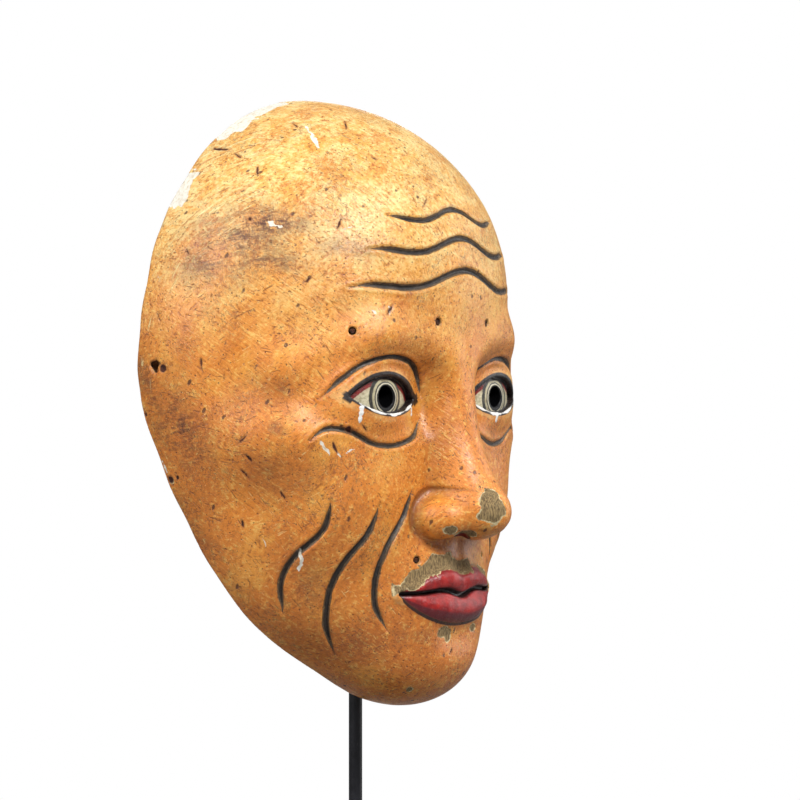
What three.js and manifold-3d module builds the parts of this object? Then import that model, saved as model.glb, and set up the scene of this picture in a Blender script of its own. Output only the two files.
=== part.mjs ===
// Carved and painted wooden face mask on a small adjustable display stand.
// Millimetres, +Z up. Origin: centre of the stand's base on the table. The face looks along -Y.
// The mask hangs by its hollow on a padded top arm, steadied by a padded cross arm.
import * as THREE from "three";
import { mergeVertices } from "three/addons/utils/BufferGeometryUtils.js";
import Module from "manifold-3d";

const wasm = await Module();
wasm.setup();

// ---------- driving dimensions ----------
const MASK_Z = 232; // height of the mask's middle over the table
const ROD_F = 34; // the rod stands this far forward of the mask's rear edge
const ROD_R = 2.4; // display rod, 4.8 mm across
const ARM_R = 2.0; // padded arms, 4 mm across
const BASE = 120, BASE_T = 14, FELT_T = 1.7, BASE_Z = 2.0;
const TUBE_R = 7, TUBE_BORE = 2.62, TUBE_Z0 = BASE_Z + BASE_T + 0.3, TUBE_Z1 = 74;
const COLLAR_R = 7.5, COLLAR_Z0 = 74.3, COLLAR_H = 9;
const ROD_Z0 = 28.5, ROD_Z1 = MASK_Z - 14.5;
const PIVOT_Z = MASK_Z - 4; // tilt axis
const CLEVIS_W = 12, CLEVIS_D = 11, SLOT_W = 5.2, TANG_W = 4.4;
const EYE_X = 31.5, EYE_Z = 1.0;
const PUPIL_R = 3.9, PUPIL_BACK_R = 1.7, PUPIL_F = 73.4; // pierced pupils, wide in front
const PUPIL_RISE = 0.4; // they rise towards the back, to the wearer's eyes
const TIE_Z = 12, TIE_F = 8, TIE_R = 1.9;
const TOP_TIP_F = 42.0, TOP_TIP_Z = 68.4; // where the top pad meets the hollow
const SIDE_TIP_X = 46.9, SIDE_TIP_F = 38.0;

// ---------- solids ----------
const solid = (g) => {
  let b = g.index ? g.toNonIndexed() : g.clone();
  b = new THREE.BufferGeometry().setAttribute("position", b.getAttribute("position"));
  b = mergeVertices(b, 1e-3);
  const m = new wasm.Manifold(
    new wasm.Mesh({ numProp: 3, vertProperties: new Float32Array(b.attributes.position.array), triVerts: new Uint32Array(b.index.array) }),
  );
  return m;
};
const geometry = (m) => {
  const k = m.getMesh(), v = new Float32Array(k.numVert * 3);
  for (let i = 0; i < k.numVert; i++) v.set(k.vertProperties.subarray(i * k.numProp, i * k.numProp + 3), i * 3);
  const g = new THREE.BufferGeometry().setAttribute("position", new THREE.BufferAttribute(v, 3));
  g.setIndex(new THREE.BufferAttribute(new Uint32Array(k.triVerts), 1));
  g.computeVertexNormals();
  return g;
};
const turn = (g, rx, ry, rz) => g.applyMatrix4(new THREE.Matrix4().makeRotationFromEuler(new THREE.Euler(rx, ry, rz)));
// cylinder along Z from z0 to z1
const cylZ = (r, z0, z1, x = 0, y = 0, n = 28, r1 = r) =>
  turn(new THREE.CylinderGeometry(r1, r, z1 - z0, n), Math.PI / 2, 0, 0).translate(x, y, (z0 + z1) / 2);
const cylX = (r, x0, x1, y, z, n = 24) =>
  turn(new THREE.CylinderGeometry(r, r, x1 - x0, n), 0, 0, -Math.PI / 2).translate((x0 + x1) / 2, y, z);
const cylY = (r, y0, y1, x, z, n = 24) =>
  new THREE.CylinderGeometry(r, r, y1 - y0, n).translate(x, (y0 + y1) / 2, z);
// cylinder of radius r between two points
const cylAB = (r, a, b, n = 12, r1 = r) => {
  const d = b.clone().sub(a);
  const g = new THREE.CylinderGeometry(r1, r, d.length(), n);
  g.applyQuaternion(new THREE.Quaternion().setFromUnitVectors(new THREE.Vector3(0, 1, 0), d.normalize()));
  return g.translate((a.x + b.x) / 2, (a.y + b.y) / 2, (a.z + b.z) / 2);
};
const box = (sx, sy, sz, x, y, z) => new THREE.BoxGeometry(sx, sy, sz).translate(x, y, z);
const lathe = (pts, n = 28) => turn(new THREE.LatheGeometry(pts.map((p) => new THREE.Vector2(p[0], p[1])), n), Math.PI / 2, 0, 0);

// ---------- materials ----------
const mat = (c, r, m) => new THREE.MeshStandardMaterial({ color: c, roughness: r, metalness: m });
const PAINT = mat(0xd9944e, 0.42, 0), BLACK = mat(0x15151a, 0.5, 0.3), RUBBER = mat(0x202022, 0.9, 0);
const STEEL = mat(0x8b8d90, 0.35, 0.9), IRON = mat(0x3a2d26, 0.8, 0.5), FELT = mat(0x1d2420, 1, 0);

const root = new THREE.Group();
const add = (name, g, m, parent = root) => {
  const o = new THREE.Mesh(g, m);
  o.name = name;
  parent.add(o);
  return o;
};

// ---------- the carved face, as a distance field; x across, f forward, z up ----------
const ell = (x, f, z, cx, cf, cz, rx, rf, rz) => {
  const a = (x - cx) / rx, b = (f - cf) / rf, c = (z - cz) / rz;
  const k0 = Math.hypot(a, b, c), k1 = Math.hypot(a / rx, b / rf, c / rz);
  return (k0 * (k0 - 1)) / Math.max(k1, 1e-6);
};
const smin = (a, b, k) => {
  const h = Math.min(1, Math.max(0, 0.5 + (0.5 * (b - a)) / k));
  return b + (a - b) * h - k * h * (1 - h);
};
const smax = (a, b, k) => -smin(-a, -b, k);
const cone = (x, f, z, a, b, ra, rb) => {
  const bx = b[0] - a[0], bf = b[1] - a[1], bz = b[2] - a[2], px = x - a[0], pf = f - a[1], pz = z - a[2];
  const h = Math.min(1, Math.max(0, (px * bx + pf * bf + pz * bz) / (bx * bx + bf * bf + bz * bz)));
  return Math.hypot(px - h * bx, pf - h * bf, pz - h * bz) - (ra + (rb - ra) * h);
};
const lips = (x, f, z) => smin(
  ell(x, f, z, 0, 66.4, -62.6, 26, 18.4, 5.2),
  ell(x, f, z, 0, 66, -71.8, 24, 18.2, 6),
  1.6,
);
const face = (x, f, z) => {
  const ax = Math.abs(x);
  let d = ell(x, f, z, 0, 6, 18, 78, 72, 90); // cranium
  d = smin(d, ell(x, f, z, 0, 32, 46, 50, 45, 44), 30); // forehead
  d = smin(d, ell(x, f, z, 0, 20, -34, 62, 54, 60), 26); // lower face
  d = smin(d, ell(ax, f, z, 27, 26, -58, 27, 30, 26), 20); // jaw
  d = smin(d, ell(x, f, z, 0, 38, -70, 40, 35, 29), 18);
  d = smin(d, ell(x, f, z, 0, 57, -86.5, 25, 22.5, 20), 18); // chin
  d = smin(d, ell(x, f, z, 0, 50, -61, 30, 28, 24), 16); // muzzle
  d = smin(d, ell(ax, f, z, 44, 41, -13, 22, 22, 13), 16); // cheekbones
  d = smin(d, ell(ax, f, z, 33, 50, -36, 18, 19, 19), 16); // cheeks
  d = smin(d, cone(ax, f, z, [6, 72, 15], [32, 68, 20.5], 5.5, 5), 13); // brow ridge
  d = smin(d, cone(ax, f, z, [32, 68, 20.5], [56, 50, 12], 5, 4.6), 13);
  d = smax(d, -ell(ax, f, z, 30, 87, 2.5, 20, 16.5, 13.5), 10); // eye sockets
  d = smax(d, -ell(ax, f, z, 16, 80, 0, 6, 8, 10), 7);
  d = smin(d, cone(x, f, z, [0, 70.5, 16], [0, 86, -30], 6.4, 7.4), 10); // nose
  d = smin(d, cone(x, f, z, [0, 74, -18], [0, 85, -37], 8.5, 10.4), 7);
  d = smin(d, ell(x, f, z, 0, 90.5, -38.5, 9.8, 10.2, 8.8), 5);
  const wx = (ax - 11.6) * 0.94 + (f - 80.5) * 0.34, wf = -(ax - 11.6) * 0.34 + (f - 80.5) * 0.94;
  d = smin(d, ell(wx, wf, z, 0, 0, -40.6, 6.3, 10.6, 7.2), 2.6); // wings
  const eb = ell(ax, f, z, 29.8, 54.6, EYE_Z, 22, 18.8, 18.5);
  d = smin(d, smax(eb - 2.3, Math.abs(z - EYE_Z) - 13, 6), 5); // lids
  d = smax(d, -ell(x, f, z, 0, 88, -82.5, 20, 8, 4.8), 7); // fold under the lower lip
  d = smax(d, -ell(x, f, z, 0, 84.5, -53, 4.4, 4, 8), 4); // philtrum
  d = smin(d, lips(x, f, z), 1.8);
  return d;
};
const hollow = (x, f, z) => {
  let d = ell(x, f, z, 0, 0, 16, 67.5, 64, 80.5);
  d = smin(d, ell(x, f, z, 0, 14, -34, 52, 46, 52), 22);
  d = smin(d, ell(x, f, z, 0, 42, -74, 24, 22, 18), 16);
  d = smin(d, cone(x, f, z, [0, 58, 4], [0, 70, -34], 5, 8), 8);
  return d;
};
const rimF = (z) => 47 * Math.min(1.2, Math.max(0, -z / 108)) ** 1.35 + 9 * Math.min(1.2, Math.max(0, z / 108)) ** 2.2;
// mask frame (x, f, z) to the part's frame
const P = (x, f, z) => new THREE.Vector3(x, ROD_F - f, MASK_Z + z);

// Latitudes -90 to 90 degrees in even steps of a density that peaks, by "gain", at one latitude.
const crowd = (at, width, gain) => {
  const n = 720, sum = [0];
  for (let i = 1; i <= n; i++) {
    const lat = ((i - 0.5) / n - 0.5) * Math.PI;
    sum.push(sum[i - 1] + 1 + gain * Math.exp(-(((lat - at) / width) ** 2)));
  }
  return (lat) => {
    const v = (lat / Math.PI + 0.5) * sum[n];
    let i = 1;
    while (i < n && sum[i] < v) i++;
    return ((i - 1 + (v - sum[i - 1]) / (sum[i] - sum[i - 1])) / n - 0.5) * Math.PI;
  };
};
// A sphere's vertices pushed out or in along their rays until they lie on a field's surface.
const carve = (field, c, cols, rows, squeeze, start, rowAt, passes) => {
  const g = new THREE.SphereGeometry(1, cols, rows), at = [];
  const p = g.getAttribute("position");
  for (let i = 0; i < p.count; i++) {
    const y = Math.max(-1, Math.min(1, p.getY(i))); // polar axis
    let lat = Math.asin(y), lon = Math.abs(y) > 0.999999 ? 0 : Math.atan2(p.getX(i), p.getZ(i));
    lon -= squeeze * Math.sin(lon); // more columns on the front
    lat = rowAt(lat);
    if (Math.abs(y) > 0.999999) lat = (Math.PI / 2) * Math.sign(y);
    const dx = Math.cos(lat) * Math.sin(lon), df = Math.cos(lat) * Math.cos(lon), dz = Math.sin(lat);
    let t = start;
    for (let k = 0; k < 400; k++) {
      const s = field(c[0] + dx * t, c[1] + df * t, c[2] + dz * t);
      t -= s * 0.7;
      if (Math.abs(s) < 1e-3) break;
    }
    at.push([c[0] + dx * t, c[1] + df * t, c[2] + dz * t]);
  }
  // even the spacing out along the surface, so steep folds get their share of the vertices
  const id = (ix, iy) => iy * (cols + 1) + ((ix + cols) % cols);
  for (let pass = 0; pass < passes; pass++) {
    const old = at.map((q) => q.slice());
    for (let iy = 2; iy < rows - 1; iy++)
      for (let ix = 0; ix < cols; ix++) {
        const near = [old[id(ix - 1, iy)], old[id(ix + 1, iy)], old[id(ix, iy - 1)], old[id(ix, iy + 1)]];
        const q = [0, 1, 2].map((k) => 0.4 * old[id(ix, iy)][k] + 0.15 * (near[0][k] + near[1][k] + near[2][k] + near[3][k]));
        for (let n = 0; n < (pass === passes - 1 ? 4 : 1); n++) {
          const d = field(...q), e = 0.05;
          const gr = [0, 1, 2].map((k) => {
            const a = q.slice(), b = q.slice();
            a[k] += e; b[k] -= e;
            return (field(...a) - field(...b)) / (2 * e);
          });
          const g2 = Math.max(gr[0] ** 2 + gr[1] ** 2 + gr[2] ** 2, 0.2), m = Math.max(-1.5, Math.min(1.5, d / g2));
          for (let k = 0; k < 3; k++) q[k] -= gr[k] * m;
        }
        at[id(ix, iy)] = q;
      }
  }
  for (let iy = 0; iy <= rows; iy++)
    for (let ix = 0; ix <= cols; ix++) {
      const q = P(...at[id(ix, iy)]);
      p.setXYZ(iy * (cols + 1) + ix, q.x, q.y, q.z);
    }
  return g;
};
// the distance out along a ray at which a field crosses zero, seen from outside
const hit = (field, c, d, start = 150) => {
  let t = start;
  for (let k = 0; k < 400; k++) {
    const s = field(c[0] + d[0] * t, c[1] + d[1] * t, c[2] + d[2] * t);
    t -= s * 0.7;
    if (Math.abs(s) < 1e-3) break;
  }
  return t;
};

// ---------- mask shell: carved outside, cut off at the back, hollowed, drilled ----------
const outer = solid(carve(face, [0, 24, -6], 84, 70, 0.74, 150, crowd(-0.55, 0.42, 2.2), 9));
const inner = solid(carve(hollow, [0, 8, -6], 36, 28, 0.35, 150, (v) => v - 0.1 * Math.sin(2 * (v + 0.42)), 0));
const back = new THREE.Shape();
back.moveTo(-200, -130);
for (let z = -130; z <= 130; z += 6.5) back.lineTo(rimF(z), z);
back.lineTo(-200, 130);
const backG = new THREE.ExtrudeGeometry(back, { depth: 240, bevelEnabled: false });
// shape x is f, shape y is z, extrusion runs across the face
const bp = backG.getAttribute("position");
for (let i = 0; i < bp.count; i++) {
  const q = P(120 - bp.getZ(i), bp.getX(i), bp.getY(i));
  bp.setXYZ(i, q.x, q.y, q.z);
}
let backS = solid(backG);
if (backS.volume() < 0) throw new Error("the rear cutter is inside out");
let shell = outer.subtract(inner).subtract(backS);
const pupil = turn(new THREE.LatheGeometry(
  [[0, 30], [PUPIL_BACK_R, 30], [PUPIL_BACK_R, PUPIL_F - 14.7], [PUPIL_R, PUPIL_F], [PUPIL_R, 110], [0, 110]].map((p) => new THREE.Vector2(p[0], p[1])), 18),
  0, 0, Math.PI).translate(0, ROD_F, MASK_Z + EYE_Z);
const pv = pupil.getAttribute("position");
for (let i = 0; i < pv.count; i++) pv.setZ(i, pv.getZ(i) + PUPIL_RISE * Math.max(0, PUPIL_F - (ROD_F - pv.getY(i))));
for (const s of [-1, 1]) {
  shell = shell.subtract(solid(pupil.clone().translate(s * EYE_X, 0, 0)));
  shell = shell.subtract(solid(cylAB(TIE_R, P(s * 45, TIE_F, TIE_Z), P(s * 95, TIE_F, TIE_Z), 12)));
}
// broken-off nails: two over each brow and one each side of the upper lip, driven towards the hollow
const NAILS = [
  ["brow_nail_outer_right", -52, 24], ["brow_nail_inner_right", -13, 27],
  ["brow_nail_inner_left", 13, 27], ["brow_nail_outer_left", 52, 24],
  ["lip_nail_right", -19, -55], ["lip_nail_left", 19, -55],
];
const nailGroup = new THREE.Group();
for (const [name, x, z] of NAILS) {
  // the nail's line runs from a point on the face straight to the axis of the head
  const c = [0, 15, z * 0.9], dir = new THREE.Vector3(x, 62, z * 0.1).normalize().toArray();
  const at = (t) => P(c[0] + dir[0] * t, c[1] + dir[1] * t, c[2] + dir[2] * t);
  const t = hit(face, c, dir, 120);
  shell = shell.subtract(solid(cylAB(1.25, at(t - 7), at(t + 6), 10)));
  add(name, geometry(solid(cylAB(0.75, at(t - 6.6), at(t - 0.15), 8, 0.9))), IRON, nailGroup);
}
add("mask_shell", geometry(shell), PAINT);
root.add(nailGroup);

// ---------- stand: base ----------
const plate = new THREE.Shape();
const h = BASE / 2 - 1.2, cr = 4;
plate.moveTo(-h + cr, -h);
plate.lineTo(h - cr, -h); plate.absarc(h - cr, -h + cr, cr, -Math.PI / 2, 0);
plate.lineTo(h, h - cr); plate.absarc(h - cr, h - cr, cr, 0, Math.PI / 2);
plate.lineTo(-h + cr, h); plate.absarc(-h + cr, h - cr, cr, Math.PI / 2, Math.PI);
plate.lineTo(-h, -h + cr); plate.absarc(-h + cr, -h + cr, cr, Math.PI, 1.5 * Math.PI);
let base = solid(new THREE.ExtrudeGeometry(plate, { depth: BASE_T - 2.4, bevelThickness: 1.2, bevelSize: 1.2, bevelSegments: 2, curveSegments: 5 }).translate(0, 0, BASE_Z + 1.2));
base = base.subtract(solid(cylZ(3.4, 0, 40, 0, 0, 28))).subtract(solid(cylZ(6.4, 0, BASE_Z + 4.6, 0, 0, 28)));
add("base_plate", geometry(base), BLACK);
const felt = new THREE.Shape();
const fh = BASE / 2 - 3;
felt.moveTo(-fh, -fh); felt.lineTo(fh, -fh); felt.lineTo(fh, fh); felt.lineTo(-fh, fh);
add("base_felt", new THREE.ExtrudeGeometry(felt, { depth: FELT_T, bevelEnabled: false }), FELT);
// bolt up through the base into the socket tube
add("base_bolt", lathe([[0, BASE_Z + 0.2], [5.9, BASE_Z + 0.2], [5.9, BASE_Z + 4.2], [3, BASE_Z + 4.2], [3, TUBE_Z0 + 7.4], [0, TUBE_Z0 + 7.4]], 24), STEEL);

// ---------- stand: socket tube, its thumb screw, collar, its thumb screw ----------
const tubeG = lathe([[0, TUBE_Z0], [TUBE_R + 2.5, TUBE_Z0], [TUBE_R + 2.5, TUBE_Z0 + 2.5], [TUBE_R, TUBE_Z0 + 4], [TUBE_R, TUBE_Z1 - 0.8], [TUBE_R - 0.8, TUBE_Z1], [0, TUBE_Z1]], 28);
let tube = solid(tubeG).subtract(solid(cylZ(TUBE_BORE, 27.5, TUBE_Z1 + 9, 0, 0, 28))).subtract(solid(cylZ(3.3, 0, TUBE_Z0 + 8.2, 0, 0, 28)));
const SOCKET_SCREW_Z = 62;
tube = tube.subtract(solid(cylY(1.85, 0, 20, 0, SOCKET_SCREW_Z, 20)));
add("socket_tube", geometry(tube), BLACK);
// knurled head with a plain shank; the axis is Y and the tip points at the rod
const knurl = (r, n, depth) => {
  const s = new THREE.Shape();
  for (let i = 0; i < n * 2; i++) {
    const a = (Math.PI * i) / n, q = i % 2 ? r : r - depth;
    if (i) s.lineTo(q * Math.cos(a), q * Math.sin(a)); else s.moveTo(q * Math.cos(a), q * Math.sin(a));
  }
  return s;
};
const thumbScrew = (y0, z, headY, r = 4.6) => {
  const head = turn(new THREE.ExtrudeGeometry(knurl(r, 14, 0.5), { depth: 6, bevelThickness: 0.5, bevelSize: 0.4, bevelOffset: -0.4, bevelSegments: 1 }), -Math.PI / 2, 0, 0).translate(0, headY + 0.5, z);
  let m = solid(head).add(solid(cylY(1.5, y0, headY + 2, 0, z, 20)));
  m = m.add(solid(cylY(2.8, headY - 1.2, headY + 2, 0, z, 20)));
  return geometry(m);
};
add("socket_screw", thumbScrew(ROD_R + 0.15, SOCKET_SCREW_Z, TUBE_R + 1.9), STEEL);
const cz = COLLAR_Z0 + COLLAR_H / 2;
let collar = solid(lathe([[0, COLLAR_Z0], [COLLAR_R - 0.6, COLLAR_Z0], [COLLAR_R, COLLAR_Z0 + 0.6], [COLLAR_R, COLLAR_Z0 + COLLAR_H - 0.6], [COLLAR_R - 0.6, COLLAR_Z0 + COLLAR_H], [0, COLLAR_Z0 + COLLAR_H]], 28));
collar = collar.subtract(solid(cylZ(TUBE_BORE, COLLAR_Z0 - 9, COLLAR_Z0 + COLLAR_H + 9, 0, 0, 28))).subtract(solid(cylY(1.85, 0, 20, 0, cz, 20)));
add("stop_collar", geometry(collar), BLACK);
add("collar_screw", thumbScrew(ROD_R + 0.15, cz, COLLAR_R + 1.9), STEEL);

// ---------- stand: rod and clevis ----------
add("post_rod", lathe([[0, ROD_Z0], [ROD_R - 0.5, ROD_Z0], [ROD_R, ROD_Z0 + 0.5], [ROD_R, ROD_Z1 - 0.3], [ROD_R - 0.3, ROD_Z1], [0, ROD_Z1]], 28), BLACK);
const CLEVIS_Z0 = ROD_Z1 - 10, EAR_Z = PIVOT_Z + 6;
const ear = new THREE.Shape();
const cd = CLEVIS_D / 2;
ear.moveTo(-cd, CLEVIS_Z0); ear.lineTo(cd, CLEVIS_Z0); ear.lineTo(cd, PIVOT_Z + 0.5);
ear.absarc(0, PIVOT_Z + 0.5, cd, 0, Math.PI); ear.lineTo(-cd, CLEVIS_Z0);
const earG = new THREE.ExtrudeGeometry(ear, { depth: CLEVIS_W - 1.2, bevelThickness: 0.6, bevelSize: 0.6, bevelOffset: -0.6, bevelSegments: 1, curveSegments: 16 });
// the shape's x, y are the part's y, z, and its depth runs along x
const yz = (g, depth) => {
  const p = g.getAttribute("position");
  for (let i = 0; i < p.count; i++) p.setXYZ(i, p.getZ(i) - depth / 2, p.getX(i), p.getY(i));
  return g;
};
let clevis = solid(yz(earG, CLEVIS_W - 1.2));
clevis = clevis.subtract(solid(cylZ(ROD_R + 0.3, CLEVIS_Z0 - 5, ROD_Z1 + 0.3, 0, 0, 28)));
clevis = clevis.subtract(solid(box(SLOT_W, 40, 40, 0, 0, PIVOT_Z - 6.8 + 20)));
clevis = clevis.subtract(solid(cylX(2.3, -20, 20, 0, PIVOT_Z, 24)));
add("post_clevis", geometry(clevis), BLACK);

// ---------- tilt joint: bolt, washers, knob ----------
const HW = CLEVIS_W / 2;
const latheX = (pts, n) => turn(new THREE.LatheGeometry(pts.map((p) => new THREE.Vector2(p[0], p[1])), n), 0, 0, -Math.PI / 2).translate(0, 0, PIVOT_Z);
add("tilt_bolt", latheX([[0, -HW - 4.5], [2.6, -HW - 4.5], [3.6, -HW - 3.9], [3.6, -HW - 1.5], [2, -HW - 1.5], [2, HW + 9.2], [1.6, HW + 9.6], [0, HW + 9.6]], 24), STEEL);
for (const [n, s] of [["tilt_washer_right", -1], ["tilt_washer_left", 1]]) {
  const w = solid(cylX(4.6, s < 0 ? -HW - 1.2 : HW + 0.3, s < 0 ? -HW - 0.3 : HW + 1.2, 0, PIVOT_Z, 24)).subtract(solid(cylX(2.3, -20, 20, 0, PIVOT_Z, 24)));
  add(n, geometry(w), STEEL);
}
const knobG = new THREE.ExtrudeGeometry(knurl(6, 18, 0.5), { depth: 5, bevelThickness: 0.5, bevelSize: 0.5, bevelOffset: -0.5, bevelSegments: 1 });
let knob = solid(turn(knobG, 0, Math.PI / 2, 0).translate(HW + 2.4, 0, PIVOT_Z)).add(solid(cylX(3.8, HW + 1.5, HW + 3, 0, PIVOT_Z, 24)));
knob = knob.subtract(solid(cylX(2.3, -30, 30, 0, PIVOT_Z, 24)));
add("tilt_knob", geometry(knob), STEEL);

// ---------- head block: a tang in the clevis and a block that holds both arms ----------
const BLOCK_Z0 = PIVOT_Z + 8, BLOCK_Z1 = BLOCK_Z0 + 18, CROSS_Z = BLOCK_Z0 + 5.5;
const tang = new THREE.Shape();
tang.absarc(0, PIVOT_Z, 4.9, Math.PI, 2 * Math.PI);
tang.lineTo(4.9, BLOCK_Z0 + 2); tang.lineTo(-4.9, BLOCK_Z0 + 2); tang.lineTo(-4.9, PIVOT_Z);
let block = solid(yz(new THREE.ExtrudeGeometry(tang, { depth: TANG_W, bevelEnabled: false, curveSegments: 16 }), TANG_W));
const blk = new THREE.Shape();
blk.moveTo(-6, BLOCK_Z0); blk.lineTo(6, BLOCK_Z0); blk.lineTo(6, BLOCK_Z1); blk.lineTo(-6, BLOCK_Z1);
block = block.add(solid(yz(new THREE.ExtrudeGeometry(blk, { depth: 12.8, bevelThickness: 0.6, bevelSize: 0.6, bevelOffset: -0.6, bevelSegments: 1 }), 12.8)));
block = block.subtract(solid(cylX(2.3, -30, 30, 0, PIVOT_Z, 24)));
block = block.subtract(solid(cylX(ARM_R + 0.3, -30, 30, 0, CROSS_Z, 24)));
block = block.subtract(solid(cylZ(ARM_R + 0.3, CROSS_Z + 4, BLOCK_Z1 + 10, 0, 0, 24)));
block = block.subtract(solid(cylY(1.55, 0, 20, 0, CROSS_Z, 16))).subtract(solid(cylY(1.55, 0, 20, 0, BLOCK_Z1 - 4, 16)));
add("head_block", geometry(block), BLACK);
for (const [n, z] of [["cross_arm_screw", CROSS_Z], ["top_arm_screw", BLOCK_Z1 - 4]])
  add(n, turn(new THREE.LatheGeometry([[0, 0], [1.25, 0], [1.25, 4.2], [0.7, 4.2], [0.7, 3.2], [0, 3.2]].map((p) => new THREE.Vector2(p[0], p[1])), 16), 0, 0, 0).translate(0, ARM_R + 0.25, z), STEEL);

// ---------- padded arms ----------
// round wire through corner points, each corner bent to a smooth curve: one step along each
// straight and BEND_STEPS along each bend
const BEND_STEPS = 5;
class BentWire extends THREE.Curve {
  constructor(pts, bend) {
    super();
    this.parts = [];
    let from = pts[0];
    for (let i = 1; i < pts.length - 1; i++) {
      const into = pts[i].clone().add(pts[i - 1].clone().sub(pts[i]).setLength(bend));
      const out = pts[i].clone().add(pts[i + 1].clone().sub(pts[i]).setLength(bend));
      this.parts.push([new THREE.LineCurve3(from, into), 1], [new THREE.QuadraticBezierCurve3(into, pts[i], out), BEND_STEPS]);
      from = out;
    }
    this.parts.push([new THREE.LineCurve3(from, pts[pts.length - 1]), 1]);
    this.steps = this.parts.reduce((n, p) => n + p[1], 0);
  }
  locate(t) {
    let s = Math.min(Math.max(t, 0), 1) * this.steps;
    for (const [c, n] of this.parts) {
      if (s <= n + 1e-9) return [c, Math.min(1, s / n)];
      s -= n;
    }
    return [this.parts.at(-1)[0], 1];
  }
  getPoint(t) { const [c, u] = this.locate(t); return c.getPoint(u); }
  getTangent(t) { const [c, u] = this.locate(t); return c.getTangent(u); }
  getPointAt(t) { return this.getPoint(t); }
  getTangentAt(t) { return this.getTangent(t); }
}
const bentWire = (pts, bend) => {
  const path = new BentWire(pts, bend), s = new THREE.Shape();
  s.absarc(0, 0, ARM_R, 0, 2 * Math.PI);
  return new THREE.ExtrudeGeometry(s, { steps: path.steps, curveSegments: 9, extrudePath: path });
};
const TOP_DIR = [0.768, 0.64], SIDE_DIR = [0.94, 0.342];
const topTip = [TOP_TIP_F, TOP_TIP_Z], run = (topTip[0] - ROD_F) / TOP_DIR[0];
const topPts = [P(0, ROD_F, CROSS_Z - MASK_Z + 4.6), P(0, ROD_F, topTip[1] - run * TOP_DIR[1]), P(0, topTip[0], topTip[1])];
add("top_arm", geometry(solid(bentWire(topPts, 4))), BLACK);
const cornerX = SIDE_TIP_X - ((SIDE_TIP_F - ROD_F) / SIDE_DIR[1]) * SIDE_DIR[0], zc = CROSS_Z - MASK_Z;
const crossPts = [P(-SIDE_TIP_X, SIDE_TIP_F, zc), P(-cornerX, ROD_F, zc), P(cornerX, ROD_F, zc), P(SIDE_TIP_X, SIDE_TIP_F, zc)];
add("cross_arm", geometry(solid(bentWire(crossPts, 3))), BLACK);
// a rubber sleeve over an arm's end: rounded outside, blind bore inside
const sleeve = (tip, back) => {
  const d = tip.clone().sub(back).normalize();
  const prof = [[0, 0.35], [2.35, 0.35], [2.35, -5], [3.3, -5], [4, -4], [4, 1.4], [3.3, 3.2], [1.9, 4.3], [0, 4.6]];
  const g = new THREE.LatheGeometry(prof.map((p) => new THREE.Vector2(p[0], p[1])), 18);
  g.applyQuaternion(new THREE.Quaternion().setFromUnitVectors(new THREE.Vector3(0, 1, 0), d));
  return geometry(solid(g.translate(tip.x, tip.y, tip.z)));
};
add("top_pad", sleeve(topPts[2], topPts[1]), RUBBER);
add("side_pad_right", sleeve(crossPts[0], crossPts[1]), RUBBER);
add("side_pad_left", sleeve(crossPts[3], crossPts[2]), RUBBER);

export default root;
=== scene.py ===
import bpy, bmesh, math
import numpy as np
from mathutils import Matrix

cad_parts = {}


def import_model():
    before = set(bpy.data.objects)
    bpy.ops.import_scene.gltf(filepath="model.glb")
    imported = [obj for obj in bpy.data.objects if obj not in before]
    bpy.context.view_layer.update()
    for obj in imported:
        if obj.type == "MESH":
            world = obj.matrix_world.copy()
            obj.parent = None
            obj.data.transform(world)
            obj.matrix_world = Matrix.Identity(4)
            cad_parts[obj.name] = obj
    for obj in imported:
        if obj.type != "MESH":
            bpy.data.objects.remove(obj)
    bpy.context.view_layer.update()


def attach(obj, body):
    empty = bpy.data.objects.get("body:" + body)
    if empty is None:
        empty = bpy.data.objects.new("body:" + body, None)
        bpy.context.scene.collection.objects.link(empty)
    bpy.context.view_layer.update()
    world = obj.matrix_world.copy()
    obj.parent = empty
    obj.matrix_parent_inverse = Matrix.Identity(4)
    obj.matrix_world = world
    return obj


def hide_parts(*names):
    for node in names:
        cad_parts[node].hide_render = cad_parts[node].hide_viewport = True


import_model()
import openvdb as vdb
from mathutils import Vector, Matrix

# ---------------------------------------------------------------- setup
MASK_Z, ROD_F = 232.0, 34.0          # mask middle over the table, rod forward of the mask's rear edge (mm)
VOX = 0.6     # spacing of the mask's surface points (mm)
F32 = np.float32
rng = np.random.default_rng(7)

# ---------------------------------------------------------------- the carved face as a distance field
# mask frame, mm: x across (+ is the mask's own left), f forward, z up
def ell(x, f, z, cx, cf, cz, rx, rf, rz):
    a, b, c = (x - cx) / rx, (f - cf) / rf, (z - cz) / rz
    k0 = np.sqrt(a * a + b * b + c * c)
    k1 = np.sqrt((a / rx) ** 2 + (b / rf) ** 2 + (c / rz) ** 2)
    return k0 * (k0 - 1) / np.maximum(k1, 1e-6)

def smin(a, b, k):
    h = np.clip(0.5 + 0.5 * (b - a) / k, 0, 1)
    return b + (a - b) * h - k * h * (1 - h)

def smax(a, b, k):
    return -smin(-a, -b, k)

def cone(x, f, z, a, b, ra, rb):
    ax, af, az = a
    bx, bf, bz = b[0] - ax, b[1] - af, b[2] - az
    px, pf, pz = x - ax, f - af, z - az
    h = np.clip((px * bx + pf * bf + pz * bz) / (bx * bx + bf * bf + bz * bz), 0, 1)
    return np.sqrt((px - h * bx) ** 2 + (pf - h * bf) ** 2 + (pz - h * bz) ** 2) - (ra + (rb - ra) * h)

EX, EZ, EW, E_UP, E_LO = 31.5, 1.0, 31.0, 7.6, 5.3
PUP_R = 3.9                          # the pupil's mouth; it narrows to half of that behind, and rises

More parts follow.
